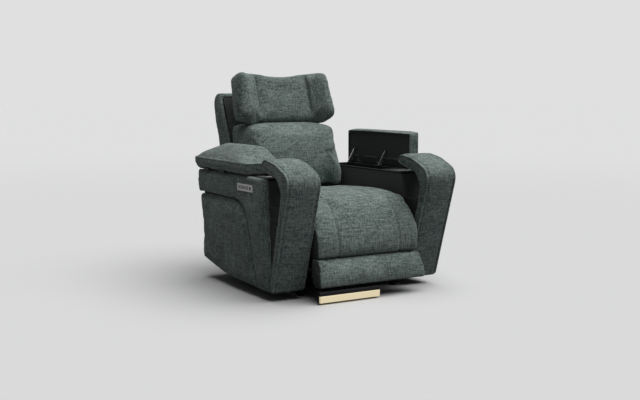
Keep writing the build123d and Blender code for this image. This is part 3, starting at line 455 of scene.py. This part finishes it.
# %% Helpers that shape and finish a cushion
COARSE_NET = 0.008               # steps of the nets that the skins are rebuilt with
PAD_NET = 0.007
FINE_NET = 0.006
FINEST_NET = 0.005
RELAX = 0.5                      # share of the way that a point moves in a round of softening
WEIGHT_STEPS = 16                # a point's weight is rounded to one of these
CLOTH = {"quality": 4, "mass": 0.3, "tension_stiffness": 12, "compression_stiffness": 12,
         "shear_stiffness": 5, "bending_stiffness": 0.8, "use_pressure": True}
SWELL_FRAMES = 20


def apply(piece, kind, **settings):
    """Adds a modifier, sets it and applies it."""
    alone(piece)
    made = piece.modifiers.new(kind.lower(), kind)
    for name, value in settings.items():
        setattr(made, name, value)
    bpy.ops.object.modifier_apply(modifier=made.name)


def net(piece, step):
    """Rebuilds the skin as an even net."""
    apply(piece, "REMESH", mode="VOXEL", voxel_size=step)


def refine(piece):
    """Gives the net its last subdivision, before seams are pressed into it."""
    apply(piece, "SUBSURF", levels=1, render_levels=1)


def soften(piece, rounds, weight=None):
    """Relaxes the net, which rounds its edges; a weight from 0 to 1 per point says how much."""
    if weight is None:
        apply(piece, "SMOOTH", factor=RELAX, iterations=rounds)
        return
    group = piece.vertex_groups.new(name="soft")
    steps = np.round(np.clip(weight, 0, 1) * WEIGHT_STEPS).astype(int)
    for step in range(1, WEIGHT_STEPS + 1):
        group.add(np.flatnonzero(steps == step).tolist(), step / WEIGHT_STEPS, "REPLACE")
    apply(piece, "SMOOTH", factor=RELAX, iterations=rounds, vertex_group=group.name)
    piece.vertex_groups.clear()


def swell(piece, pinned, cap, pressure=4.0):
    """Blows the piece out between its pinned points, by no more than a cap."""
    start = points(piece)
    held = piece.vertex_groups.new(name="held")
    held.add(np.flatnonzero(pinned).tolist(), 1.0, "REPLACE")
    alone(piece)
    cloth = piece.modifiers.new("filling", "CLOTH")
    for name, value in CLOTH.items():
        setattr(cloth.settings, name, value)
    cloth.settings.uniform_pressure_force = pressure
    cloth.settings.vertex_group_mass = held.name
    cloth.settings.effector_weights.gravity = 0
    cloth.collision_settings.use_collision = False
    cloth.point_cache.frame_start = 1
    cloth.point_cache.frame_end = SWELL_FRAMES
    for number in range(1, SWELL_FRAMES + 1):
        scene.frame_set(number)
    bpy.ops.object.modifier_apply(modifier=cloth.name)
    scene.frame_set(1)
    moved = points(piece) - start
    length = np.linalg.norm(moved, axis=0)
    place_points(piece, *(start + moved * np.minimum(1.0, cap / np.maximum(length, TINY))))
    piece.vertex_groups.clear()
    print(f"  {piece.name}: {len(length)} points, swelled {1000 * np.minimum(length, cap).max():.1f} mm")


def press(piece, distance, depth, width, where):
    """Presses a sewn line into the surface, by each point's distance from the line, in places."""
    drop = depth * np.exp(-((distance / width) ** 2)) * where
    place_points(piece, *(points(piece) - normals(piece) * drop))


def hold_between(piece, axis, low, high=np.inf):
    """Flattens a cushion where a neighbour holds it."""
    found = points(piece)
    found[axis] = np.clip(found[axis], low, high)
    place_points(piece, *found)


def line_in_black(piece, hidden):
    """Some faces get the black lining cloth: the lids' undersides, as on the real covers, and the side flanks of
    the seat and foot pad, which come out dark.
    """
    piece.data.materials.append(lining_cloth)
    piece.data.polygons.foreach_set("material_index", hidden.astype(np.int32))


def dress(piece, body, *solids, fill):
    """Finishes a padded piece: smooth shading, its cloth, its body and the solids it stands for."""
    alone(piece)
    bpy.ops.object.shade_smooth()
    piece.data.materials.append(upholstery)
    if body:
        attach(piece, body)
    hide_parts(*solids)
    print(piece.name, "triangles:", 2 * len(piece.data.polygons))


print("cushion helpers ready")

# %% [markdown]
# ## Seat and calf pad
# On the real chair one cover runs over the seat, round its front edge and down the calf pad, with a
# seam near each side. Making it as one skin keeps that unbroken curve over the leg rest's hinge. A
# rounded roll is joined in at the hinge first, because the solids leave room for the steel arms there
# and the cloth bridges it. The underside and back are pinned, because they lie on the webbing and
# the board.

# %% Make the seat and calf pad
SEAT_HALF = edge("seat_cushion", X, HIGH)
SEAT_BULGE = 0.0015              # past that, at most
SEAT_UNDER = 0.352               # top of the underside that lies on the webbing
SEAT_REAR = 0.19
CALF_REAR = -0.36                # the calf pad is in front of this
BOARD_TOP = (-0.40, 0.40)        # depth and height of the leg rest's board at its upper edge
BOARD_LEAN = 0.30
ROLL_RADIUS = 0.0465
ROLL_INSET = 0.004               # at each end
ROLL_ROUND = 0.032
ROLL_SIDES = 48
SEAT_SEAM = 0.168                # from the middle to each seam
SEAM_HALF = 0.005                # half the width that a seam pins
LIP_HEIGHT = (0.33, 0.40)        # soft limits of the front corners, in height, forwards and sideways
LIP_AHEAD = (0.20, 0.30)
LIP_ASIDE = (0.19, 0.25)
SEAM_ABOVE = (0.35, 0.40)        # soft limits of what shows of the seams
SEAM_AHEAD = (0.42, 0.46)
FLANK_TURN = 0.8                 # a face that looks sideways by more than this is lined in black
seat = cut_from("seat_and_calf_cover", "seat_cushion", "calf_pad")
bpy.ops.object.select_all(action="DESELECT")
bpy.ops.mesh.primitive_cylinder_add(vertices=ROLL_SIDES, radius=ROLL_RADIUS,
                                    depth=2 * (SEAT_HALF - ROLL_INSET), location=hinge_place["leg_lift"],
                                    rotation=(0, math.pi / 2, 0))
roll = bpy.context.object
bpy.ops.object.transform_apply(location=True, rotation=True)
apply(roll, "BEVEL", width=ROLL_ROUND, segments=5, limit_method="ANGLE")
seat = joined([seat, roll])
net(seat, COARSE_NET)
soften(seat, rounds=10)
x, y, z = points(seat)
under = (z < SEAT_UNDER) & (y > CALF_REAR)
board = BOARD_TOP[0] - BOARD_LEAN * (BOARD_TOP[1] - z)
behind = (y > SEAT_REAR) | ((y > board) & (z < BOARD_TOP[1]) & (y < CALF_REAR))
sewn = np.abs(np.abs(x) - SEAT_SEAM) < SEAM_HALF
swell(seat, under | behind | sewn, cap=0.016)
soften(seat, rounds=4)
x, y, z = points(seat)
lip = smoothstep(z, *LIP_HEIGHT) * smoothstep(-y, *LIP_AHEAD)
soften(seat, rounds=30, weight=lip * smoothstep(np.abs(x), *LIP_ASIDE))
refine(seat)
x, y, z = points(seat)
shown = np.clip(smoothstep(z, *SEAM_ABOVE) + smoothstep(-y, *SEAM_AHEAD), 0, 1)
press(seat, np.abs(x) - SEAT_SEAM, depth=0.006, width=0.006, where=shown)
hold_between(seat, X, -SEAT_HALF - SEAT_BULGE, SEAT_HALF + SEAT_BULGE)
dress(seat, None, "seat_cushion", "calf_pad", fill=0.8)
line_in_black(seat, np.abs(faces(seat, "normal")[X]) > FLANK_TURN)
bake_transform(seat)

# %% [markdown]
# ## Foot pad
# The lower flap of the leg rest is its own flat pad. Its face stands forward a little towards the
# lower edge.

# %% Make the foot pad
FOOT_BOARD = (-0.49, 0.10)       # depth and height of a point on the board behind the pad
FOOT_HEM = 0.085                 # the lower edge is below this
FOOT_PUSH = 0.011                # forwards, from this height down
FOOT_PUSH_FROM = 0.20
FOOT_PUSH_OVER = 0.12
FOOT_FACE = (0.49, 0.53)         # soft limits of the pad's face, forwards
FOOT_TURN = 0.75                 # a face that looks sideways by more than this is lined in black
foot = cut_from("foot_cover", "foot_pad")
net(foot, PAD_NET)
soften(foot, rounds=4)
x, y, z = points(foot)
board = FOOT_BOARD[0] + BOARD_LEAN * (z - FOOT_BOARD[1])
swell(foot, (y > board) | (z < FOOT_HEM), cap=0.008)
soften(foot, rounds=2)
refine(foot)
x, y, z = points(foot)
low_down = smoothstep(FOOT_PUSH_FROM - z, 0.0, FOOT_PUSH_OVER)
place_points(foot, x, y - FOOT_PUSH * low_down * smoothstep(-y, *FOOT_FACE), z)
dress(foot, "leg_rest", "foot_pad", fill=0.75)
line_in_black(foot, np.abs(faces(foot, "normal")[X]) > FOOT_TURN)

# %% [markdown]
# ## Back cushion
# A tall pillow with a fuller lumbar part, whose lower corners stand forward. A soft crease runs across
# it where the lumbar filling ends.

# %% Make the back cushion
BACK_FOOT = (0.314, 0.455)       # depth and height of the cushion's rear face at its foot
BACK_SLOPE = 0.42
BACK_PINNED = 0.05               # depth of the pinned rear part
CORNER_FORWARD = 0.058           # how far the lower corners stand forward, and their soft limits
CORNER_ASIDE = (0.17, 0.26)
CORNER_ABOVE = (0.50, 0.74)
CORNER_AHEAD = (0.03, 0.12)
TAPER = 0.08                     # share by which the cushion narrows, and over which height
TAPER_FROM = 0.53
TAPER_OVER = 0.25
CREASE = 0.625                   # height of the crease in the middle
CREASE_RISE = 0.25               # how it rises with the square of the distance from there
CREASE_DEPTH = 0.26              # the crease shows in front of this
CREASE_FADE = (0.0, 0.05)
CREASE_STARTS = (0.05, 0.22)     # soft limits of the crease, sideways
CREASE_ENDS = (0.25, 0.28)
BACK_HALF = 0.285
back = cut_from("back_cover", "back_cushion")
net(back, COARSE_NET)
soften(back, rounds=14)
x, y, z = points(back)
rear = BACK_FOOT[0] + BACK_SLOPE * (z - BACK_FOOT[1])
forward = smoothstep(np.abs(x), *CORNER_ASIDE) * (1 - smoothstep(z, *CORNER_ABOVE))
y = y - CORNER_FORWARD * forward * smoothstep(rear - y, *CORNER_AHEAD)
x = x * (1 - TAPER * np.clip((z - TAPER_FROM) / TAPER_OVER, 0, 1))
place_points(back, x, y, z)
swell(back, y > rear - BACK_PINNED, cap=0.016)
soften(back, rounds=5)
refine(back)
x, y, z = points(back)
front = smoothstep(-(y - CREASE_DEPTH), *CREASE_FADE)
side = between(np.abs(x), CREASE_STARTS, CREASE_ENDS)
press(back, z - CREASE - CREASE_RISE * x ** 2, depth=0.005, width=0.014, where=front * side)
hold_between(back, X, -BACK_HALF, BACK_HALF)
dress(back, "back", "back_cushion", fill=0.75)

# %% [markdown]
# ## Headrest
# Two wings stand forward of a centre panel. The solid's wings have a step beside each seam, and here
# they are drawn flatter, from the seam to the outer edge. Each part is filled by itself, so the seams
# between them draw in, and the pillow rolls under softly along its lower edge.

# %% Make the headrest
HEAD_FOOT = (0.275, 0.797)       # depth and height of the centre panel's foot
HEAD_LEAN = math.radians(20)
LEAN_COS, LEAN_SIN = math.cos(HEAD_LEAN), math.sin(HEAD_LEAN)
HEAD_DEPTH = 0.095
HEAD_PINNED = 0.075              # the rear part is pinned from this depth
WING_SEAM = 0.150                # from the middle to each seam
SEAM_DEPTH = 0.06                # the seams are in front of this depth
SOLID_WING = ((0.150, 0.186, 0.264, 0.284), (0, -0.043, -0.048, -0.032))    # distances, and depths there
FLAT_WING = ((0.150, 0.250, 0.268, 0.284), (0, -0.060, -0.055, -0.032))
WING_FADE = (0.015, 0.080)       # depths over which the change fades
ROLL_UNDER = 0.045               # height of the roll along the lower edge, and how deep it turns
ROLL_SHARE = 0.30
SEAM_LIFT = 0.008                # the top is higher at the seams
SEAM_LIFT_RISE = (0.02, 0.15)
SEAM_LIFT_FALL = (0.15, 0.24)
WING_SINK = 0.36                 # the tops of the wings sink by this share of how far they stand forward
SINK_FROM = (0.12, 0.25)
SOFT_ALL, SOFT_FOOT, SOFT_TOP = 0.2, 0.5, 0.6
FOOT_ENDS = (0.02, 0.07)         # heights up the lean
TOP_STARTS = (0.22, 0.26)
SEAM_FRONT = (-0.07, -0.03)      # soft limits of the pressed seams, forwards and up the lean
SEAM_STARTS = (0.01, 0.06)
SEAM_ENDS = (0.22, 0.27)


def head_place(y, z):
    """Depth behind the centre panel and height up the lean of the headrest's points."""
    back, up = y - HEAD_FOOT[0], z - HEAD_FOOT[1]
    return back * LEAN_COS - up * LEAN_SIN, back * LEAN_SIN + up * LEAN_COS


head = cut_from("headrest_cover", "head_cushion")
net(head, FINE_NET)
x, y, z = points(head)
depth, height = head_place(y, z)
aside = np.abs(x)
solid_wing = np.interp(aside, *SOLID_WING)
flat_wing = np.interp(aside, *FLAT_WING)
turn = (flat_wing - solid_wing) * (1 - smoothstep(depth - solid_wing, *WING_FADE))
under = np.clip((ROLL_UNDER - height) / ROLL_UNDER, 0, 1)
turn += (HEAD_DEPTH - depth) * ROLL_SHARE * quarter_round(under)
lift = SEAM_LIFT * between(aside, SEAM_LIFT_RISE, SEAM_LIFT_FALL)
lift = (lift - WING_SINK * np.clip(-depth, 0, 1)) * smoothstep(height, *SINK_FROM)
place_points(head, x, y + turn * LEAN_COS + lift * LEAN_SIN, z + lift * LEAN_COS - turn * LEAN_SIN)
soft = SOFT_ALL + SOFT_FOOT * (1 - smoothstep(height, *FOOT_ENDS))
soften(head, rounds=36, weight=soft + SOFT_TOP * smoothstep(height, *TOP_STARTS))
x, y, z = points(head)
depth, height = head_place(y, z)
sewn = (np.abs(np.abs(x) - WING_SEAM) < SEAM_HALF) & (depth < SEAM_DEPTH)
swell(head, (depth > HEAD_PINNED) | sewn, cap=0.007)
soften(head, rounds=3)
refine(head)
x, y, z = points(head)
depth, height = head_place(y, z)
shown = smoothstep(-depth, *SEAM_FRONT) * between(height, SEAM_STARTS, SEAM_ENDS)
press(head, np.abs(x) - WING_SEAM, depth=0.005, width=0.005, where=shown)
dress(head, "headrest", "head_cushion", fill=0.85)

# %% [markdown]
# ## Front pads
# Each arm ends in a hooked pad like a walking stick. The upper part is round and full, the lower part
# tapers to a thin edge. Piping runs down both edges of its front. It is drawn from the pad itself: a
# flat cut through the finished pad gives the line on its surface, and a round bevel gives its
# thickness.

# %% Make the front pads
PAD_IN = edge("right_front_pad", X, LOW)
PAD_OUT = edge("right_front_pad", X, HIGH)
PAD_BULGE_IN = 0.003             # past those, at most
PAD_BULGE_OUT = 0.008
FLANK = 0.010                    # width that is pinned along each flank
PAD_HEM = 0.07                   # the foot of the pad is below this
SOFT_PAD, SOFT_STEM, SOFT_HOOK = 0.05, 0.12, 0.83
STEM_STARTS = (0.10, 0.25)       # heights
HOOK_STARTS = (0.50, 0.60)
GROOVE_INSET = 0.016             # a groove runs beside each piping
GROOVE_TURN = (0.3, 0.6)         # on faces that look forwards or up by this much
pad_right = cut_from("right_front_cover", "right_front_pad")
net(pad_right, PAD_NET)
x, y, z = points(pad_right)
soft = SOFT_PAD + SOFT_STEM * smoothstep(z, *STEM_STARTS) + SOFT_HOOK * smoothstep(z, *HOOK_STARTS)
soften(pad_right, rounds=36, weight=soft)
x, y, z = points(pad_right)
flank = (x < PAD_IN + FLANK) | (x > PAD_OUT - FLANK)
swell(pad_right, flank | (z < PAD_HEM), cap=0.008, pressure=3.0)
soften(pad_right, rounds=3)
refine(pad_right)
hold_between(pad_right, X, PAD_IN - PAD_BULGE_IN, PAD_OUT + PAD_BULGE_OUT)
x, y, z = points(pad_right)
rearwards, upwards = normals(pad_right)[1:]
ahead = smoothstep(np.maximum(-rearwards, upwards), *GROOVE_TURN)
for groove in (PAD_IN + GROOVE_INSET, PAD_OUT - GROOVE_INSET):
    press(pad_right, x - groove, depth=0.004, width=0.004, where=ahead)
pad_left = twin(pad_right, "left_front_cover", ACROSS)
dress(pad_right, "base", "right_front_pad", fill=0.8)
dress(pad_left, "base", "left_front_pad", fill=0.8)

# %% Run the piping
PIPE_INSET = 0.006
PIPE_RADIUS = 0.0048
PIPE_FOOT = 0.05                 # the piping ends at this height
PAD_FOOT = (-0.388, 0.04)        # depth and height of the pad's middle at its foot
PAD_SLOPE = 0.255
HOOK_UNDER = 0.575               # below this, the piping runs only on the front of the pad


def piping(pad, name, x):
    """A thin round piping on the pad where a flat cut at x meets the front and top of it."""
    line = twin(pad, name, Matrix.Identity(4))
    line.data.materials.clear()
    alone(line)
    bpy.ops.object.mode_set(mode="EDIT")
    bpy.ops.mesh.select_all(action="SELECT")
    bpy.ops.mesh.bisect(plane_co=(x, 0, 0), plane_no=(1, 0, 0), clear_inner=True, clear_outer=True)
    bpy.ops.mesh.select_all(action="DESELECT")
    bpy.ops.object.mode_set(mode="OBJECT")
    y, z = points(line)[1:]
    middle = PAD_FOOT[0] - PAD_SLOPE * (z - PAD_FOOT[1])
    unseen = (y > middle) & (z < HOOK_UNDER) | (z < PIPE_FOOT)
    line.data.vertices.foreach_set("select", unseen)
    bpy.ops.object.mode_set(mode="EDIT")
    bpy.ops.mesh.select_mode(type="VERT")
    bpy.ops.mesh.delete(type="VERT")
    bpy.ops.object.mode_set(mode="OBJECT")
    bpy.ops.object.convert(target="CURVE")
    line.data.bevel_depth = PIPE_RADIUS
    line.data.bevel_resolution = 2
    line.data.use_fill_caps = True
    bpy.ops.object.convert(target="MESH")
    alone(line)
    bpy.ops.object.shade_smooth()
    line.data.materials.append(upholstery)
    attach(line, "base")
    print(name, "triangles:", 2 * len(line.data.polygons))


for hand, pad, sign in (("right", pad_right, 1), ("left", pad_left, -1)):
    piping(pad, hand + "_outer_piping", sign * (PAD_OUT - PIPE_INSET))
    piping(pad, hand + "_inner_piping", sign * (PAD_IN + PIPE_INSET))

# %% [markdown]
# ## Arm bands and side panels
# The outer side of each arm has a band over the top and down the front, and a fuller panel behind a
# curved seam. Both are thin pads on a board, so only their outer faces swell, and the band rolls in
# at the front of the arm and a little at its top. The left band has a pocket for the control plate,
# which is cut last, so that it stays crisp.

# %% Make the side panels
BOARD_FACE = edge("right_arm_frame", X, HIGH)
ON_BOARD = 0.006                 # a pad is pinned this near to its board
ARM_REAR = 0.35                  # and in front of this
PANEL_IN = 0.2865                # room of the panel, sideways
PANEL_OUT = 0.475
panel_right = cut_from("right_panel_cover", "right_side_panel")
net(panel_right, PAD_NET)
soften(panel_right, rounds=6)
x, y, z = points(panel_right)
swell(panel_right, (x < BOARD_FACE + ON_BOARD) & (y < ARM_REAR), cap=0.009)
soften(panel_right, rounds=3)
refine(panel_right)
hold_between(panel_right, X, PANEL_IN, PANEL_OUT)
panel_left = twin(panel_right, "left_panel_cover", ACROSS)
dress(panel_right, "base", "right_side_panel", fill=0.7)
dress(panel_left, "base", "left_side_panel", fill=0.7)

# %% Make the arm bands
ARM_TOP = edge("right_arm_band", Z, HIGH)
ARM_FRONT = -0.353               # depth of the band's front edge at the arm's top
FRONT_LEAN = 0.066
ROLL_IN = 0.048                  # length that rolls in at the front, and by which share of the thickness
ROLL_IN_SHARE = 0.85
ROLL_OVER = 0.016                # the same at the top
ROLL_OVER_SHARE = 0.3
PLATE_ALONG = (-0.25, -0.045)    # the part round the control plate, which stays flat
PLATE_UP = (0.465, 0.535)
band_right = cut_from("right_band_cover", "right_arm_band")
net(band_right, PAD_NET)
soften(band_right, rounds=3)
x, y, z = points(band_right)
plate_zone = (y > PLATE_ALONG[0]) & (y < PLATE_ALONG[1]) & (z > PLATE_UP[0]) & (z < PLATE_UP[1])
swell(band_right, (x < BOARD_FACE + ON_BOARD) & (y < ARM_REAR) | plate_zone, cap=0.006)
soften(band_right, rounds=2)
refine(band_right)
x, y, z = points(band_right)
arm_front = ARM_FRONT - FRONT_LEAN * (ARM_TOP - z)
turn_in = np.clip((arm_front + ROLL_IN - y) / ROLL_IN, 0, 1)
turn_over = np.clip((z - (ARM_TOP - ROLL_OVER)) / ROLL_OVER, 0, 1)
drop = np.maximum(ROLL_IN_SHARE * quarter_round(turn_in), ROLL_OVER_SHARE * quarter_round(turn_over))
x = np.where(x > BOARD_FACE, BOARD_FACE + (x - BOARD_FACE) * (1 - drop), x)
place_points(band_right, x, y, z)
band_left = twin(band_right, "left_band_cover", ACROSS)
dress(band_right, "base", "right_arm_band", fill=0.6)

# %% Cut the pocket for the control plate
POCKET_PLAY = 0.0012             # more than the plate's length and height
POCKET_DEPTH = 0.030             # more than its thickness
low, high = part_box("control_plate")
bpy.ops.object.select_all(action="DESELECT")
bpy.ops.mesh.primitive_cube_add(size=1, location=(low + high) / 2)
pocket = bpy.context.object
pocket.scale = high - low + Vector((POCKET_DEPTH, POCKET_PLAY, POCKET_PLAY))
bpy.ops.object.transform_apply(location=True, scale=True)
apply(band_left, "BOOLEAN", operation="DIFFERENCE", object=pocket, solver="EXACT")
bpy.data.objects.remove(pocket)
dress(band_left, "base", "left_arm_band", fill=0.6)

# %% [markdown]
# ## Lids
# The left lid is shut and the right one stands open. The cushion is made once, shut, and the open
# one is its mirror image turned about the hinge. Its lower part is an upright boxing, sewn to a domed
# top, and the seam between them stays a crisp edge, because it is pinned while both sides swell. The
# boxing of the shut one is then tucked in towards its lower edge, and both get a black underside.

# %% Make the lid's cushion
LID_SEAM = 0.613                 # height of the seam round the shut lid
LID_SIDE = (0.440, 0.462)        # soft limits of the lid's outer side, sideways
LID_FRONT = (0.150, 0.172)       # of its front, forwards
LID_OUT = 0.472                  # from the middle of the chair to the lid's outer side
LID_WIDTH = 0.185
DOME_LEAST = 0.55                # the dome's height at the outer side, as a share of the solid's
DOME_RISE = (0.05, 0.85)         # soft limits of its rise, as shares of the width
BULGE = 0.008                    # the boxing's swelling, and its soft limits in height
BULGE_RISE = (0.556, 0.572)
BULGE_FALL = (0.590, LID_SEAM)
ROOM_SIDE = (-0.468, -0.294)     # the room for the lid's board, whose walls are pinned
ROOM_ALONG = (-0.174, 0.394)
ROOM_TOP = 0.583
LID_HEM = 0.566                  # the lower edge is below this
SEAM_HOLD = 0.004                # half the width that the seam pins
SEAM_SHARE = 0.3                 # where a point belongs to the side or front by this much
HEM_DROP = 0.004                 # the lower edge hangs lower by this, up to these heights
HEM_HEIGHT = (0.563, 0.585)
LID_ROOM = (-0.490, -0.2865)     # sideways
LID_CLEAR = 0.0015               # above the arm's top


def lid_edge(x, y):
    """How far each point belongs to the outer side or the front of the left lid."""
    return np.maximum(smoothstep(-x, *LID_SIDE), smoothstep(-y, *LID_FRONT))


lid_left = cut_from("left_lid_cover", "left_lid_pad")
net(lid_left, FINEST_NET)
soften(lid_left, rounds=4)
x, y, z = points(lid_left)
dome = DOME_LEAST + (1 - DOME_LEAST) * smoothstep((LID_OUT + x) / LID_WIDTH, *DOME_RISE)
z = np.where(z > LID_SEAM, LID_SEAM + (z - LID_SEAM) * dome, z)
x = x - BULGE * between(z, BULGE_RISE, BULGE_FALL) * smoothstep(-x, *LID_SIDE)
place_points(lid_left, x, y, z)
room = (x > ROOM_SIDE[0]) & (x < ROOM_SIDE[1]) & (y > ROOM_ALONG[0]) & (y < ROOM_ALONG[1]) & (z < ROOM_TOP)
sewn = (np.abs(z - LID_SEAM) < SEAM_HOLD) & (lid_edge(x, y) > SEAM_SHARE)
swell(lid_left, room | (z < LID_HEM) | sewn, cap=0.009)
soften(lid_left, rounds=2)
refine(lid_left)
x, y, z = points(lid_left)
press(lid_left, z - LID_SEAM, depth=-0.003, width=0.005, where=lid_edge(x, y))
x, y, z = points(lid_left)
place_points(lid_left, x, y, z - HEM_DROP * (1 - smoothstep(z, *HEM_HEIGHT)))
hold_between(lid_left, X, *LID_ROOM)
hold_between(lid_left, Z, ARM_TOP + LID_CLEAR)
print("lid cushion made")

# %% Finish both lids
OPEN_ANGLE = 90                  # degrees
HOLLOW_MIDDLE = (-0.378, 0.12)   # the hollow under the lid
HOLLOW_HALF = (0.078, 0.285)
HOLLOW_TOP = 0.575
DOWNWARDS = -0.5                 # a face that looks down by more than this is lined in black
TUCK = 0.015                     # how far the lower edge is tucked in, over the height of the boxing
BOXING = 0.052
LID_REAR = (0.375, 0.400)        # soft limits of the lid's rear
TUCK_DROP = 0.002                # the tucked edge hangs lower by this, up to these heights
TUCK_HEIGHT = (0.556, 0.575)
hinge = Vector(hinge_place["right_lid_close"])
quarter = Matrix.Rotation(math.radians(OPEN_ANGLE), 4, "Y")
swing_open = Matrix.Translation(hinge) @ quarter @ Matrix.Translation(-hinge)
lid_right = twin(lid_left, "right_lid_cover", swing_open @ ACROSS)
x, y, z = faces(lid_left, "center")
hollow = (np.abs(x - HOLLOW_MIDDLE[0]) < HOLLOW_HALF[0]) & (np.abs(y - HOLLOW_MIDDLE[1]) < HOLLOW_HALF[1])
below = (faces(lid_left, "normal")[Z] < DOWNWARDS) | (hollow & (z < HOLLOW_TOP))
x, y, z = points(lid_left)
tuck = TUCK * np.clip((LID_SEAM - z) / BOXING, 0, 1)
x = x + tuck * smoothstep(-x, *LID_SIDE)
y = y + tuck * (smoothstep(-y, *LID_FRONT) - smoothstep(y, *LID_REAR))
z = z - TUCK_DROP * (1 - smoothstep(z, *TUCK_HEIGHT))
place_points(lid_left, x, y, z)
dress(lid_left, "left_lid", "left_lid_pad", fill=0.8)
dress(lid_right, "right_lid", "right_lid_pad", fill=0.8)
line_in_black(lid_left, below)
line_in_black(lid_right, below)

# %% [markdown]
# ## Back shell
# The back of the chair is a padded tray. Its skin is drawn tight, so it is only rounded, and its
# sides bow out a little above the arms.

# %% Make the back shell
BOW = 0.007                      # how far the sides bow out, and the heights where they do
BOW_RISE = (0.70, 0.80)
BOW_FALL = (0.86, 0.95)
SHELL_SIDE = (0.25, 0.28)        # soft limits of the sides
shell = cut_from("shell_cover", "back_shell")
net(shell, COARSE_NET)
soften(shell, rounds=5)
refine(shell)
x, y, z = points(shell)
bow = BOW * between(z, BOW_RISE, BOW_FALL) * smoothstep(np.abs(x), *SHELL_SIDE)
place_points(shell, x + np.sign(x) * bow, y, z)
dress(shell, "back", "back_shell", fill=0.5)
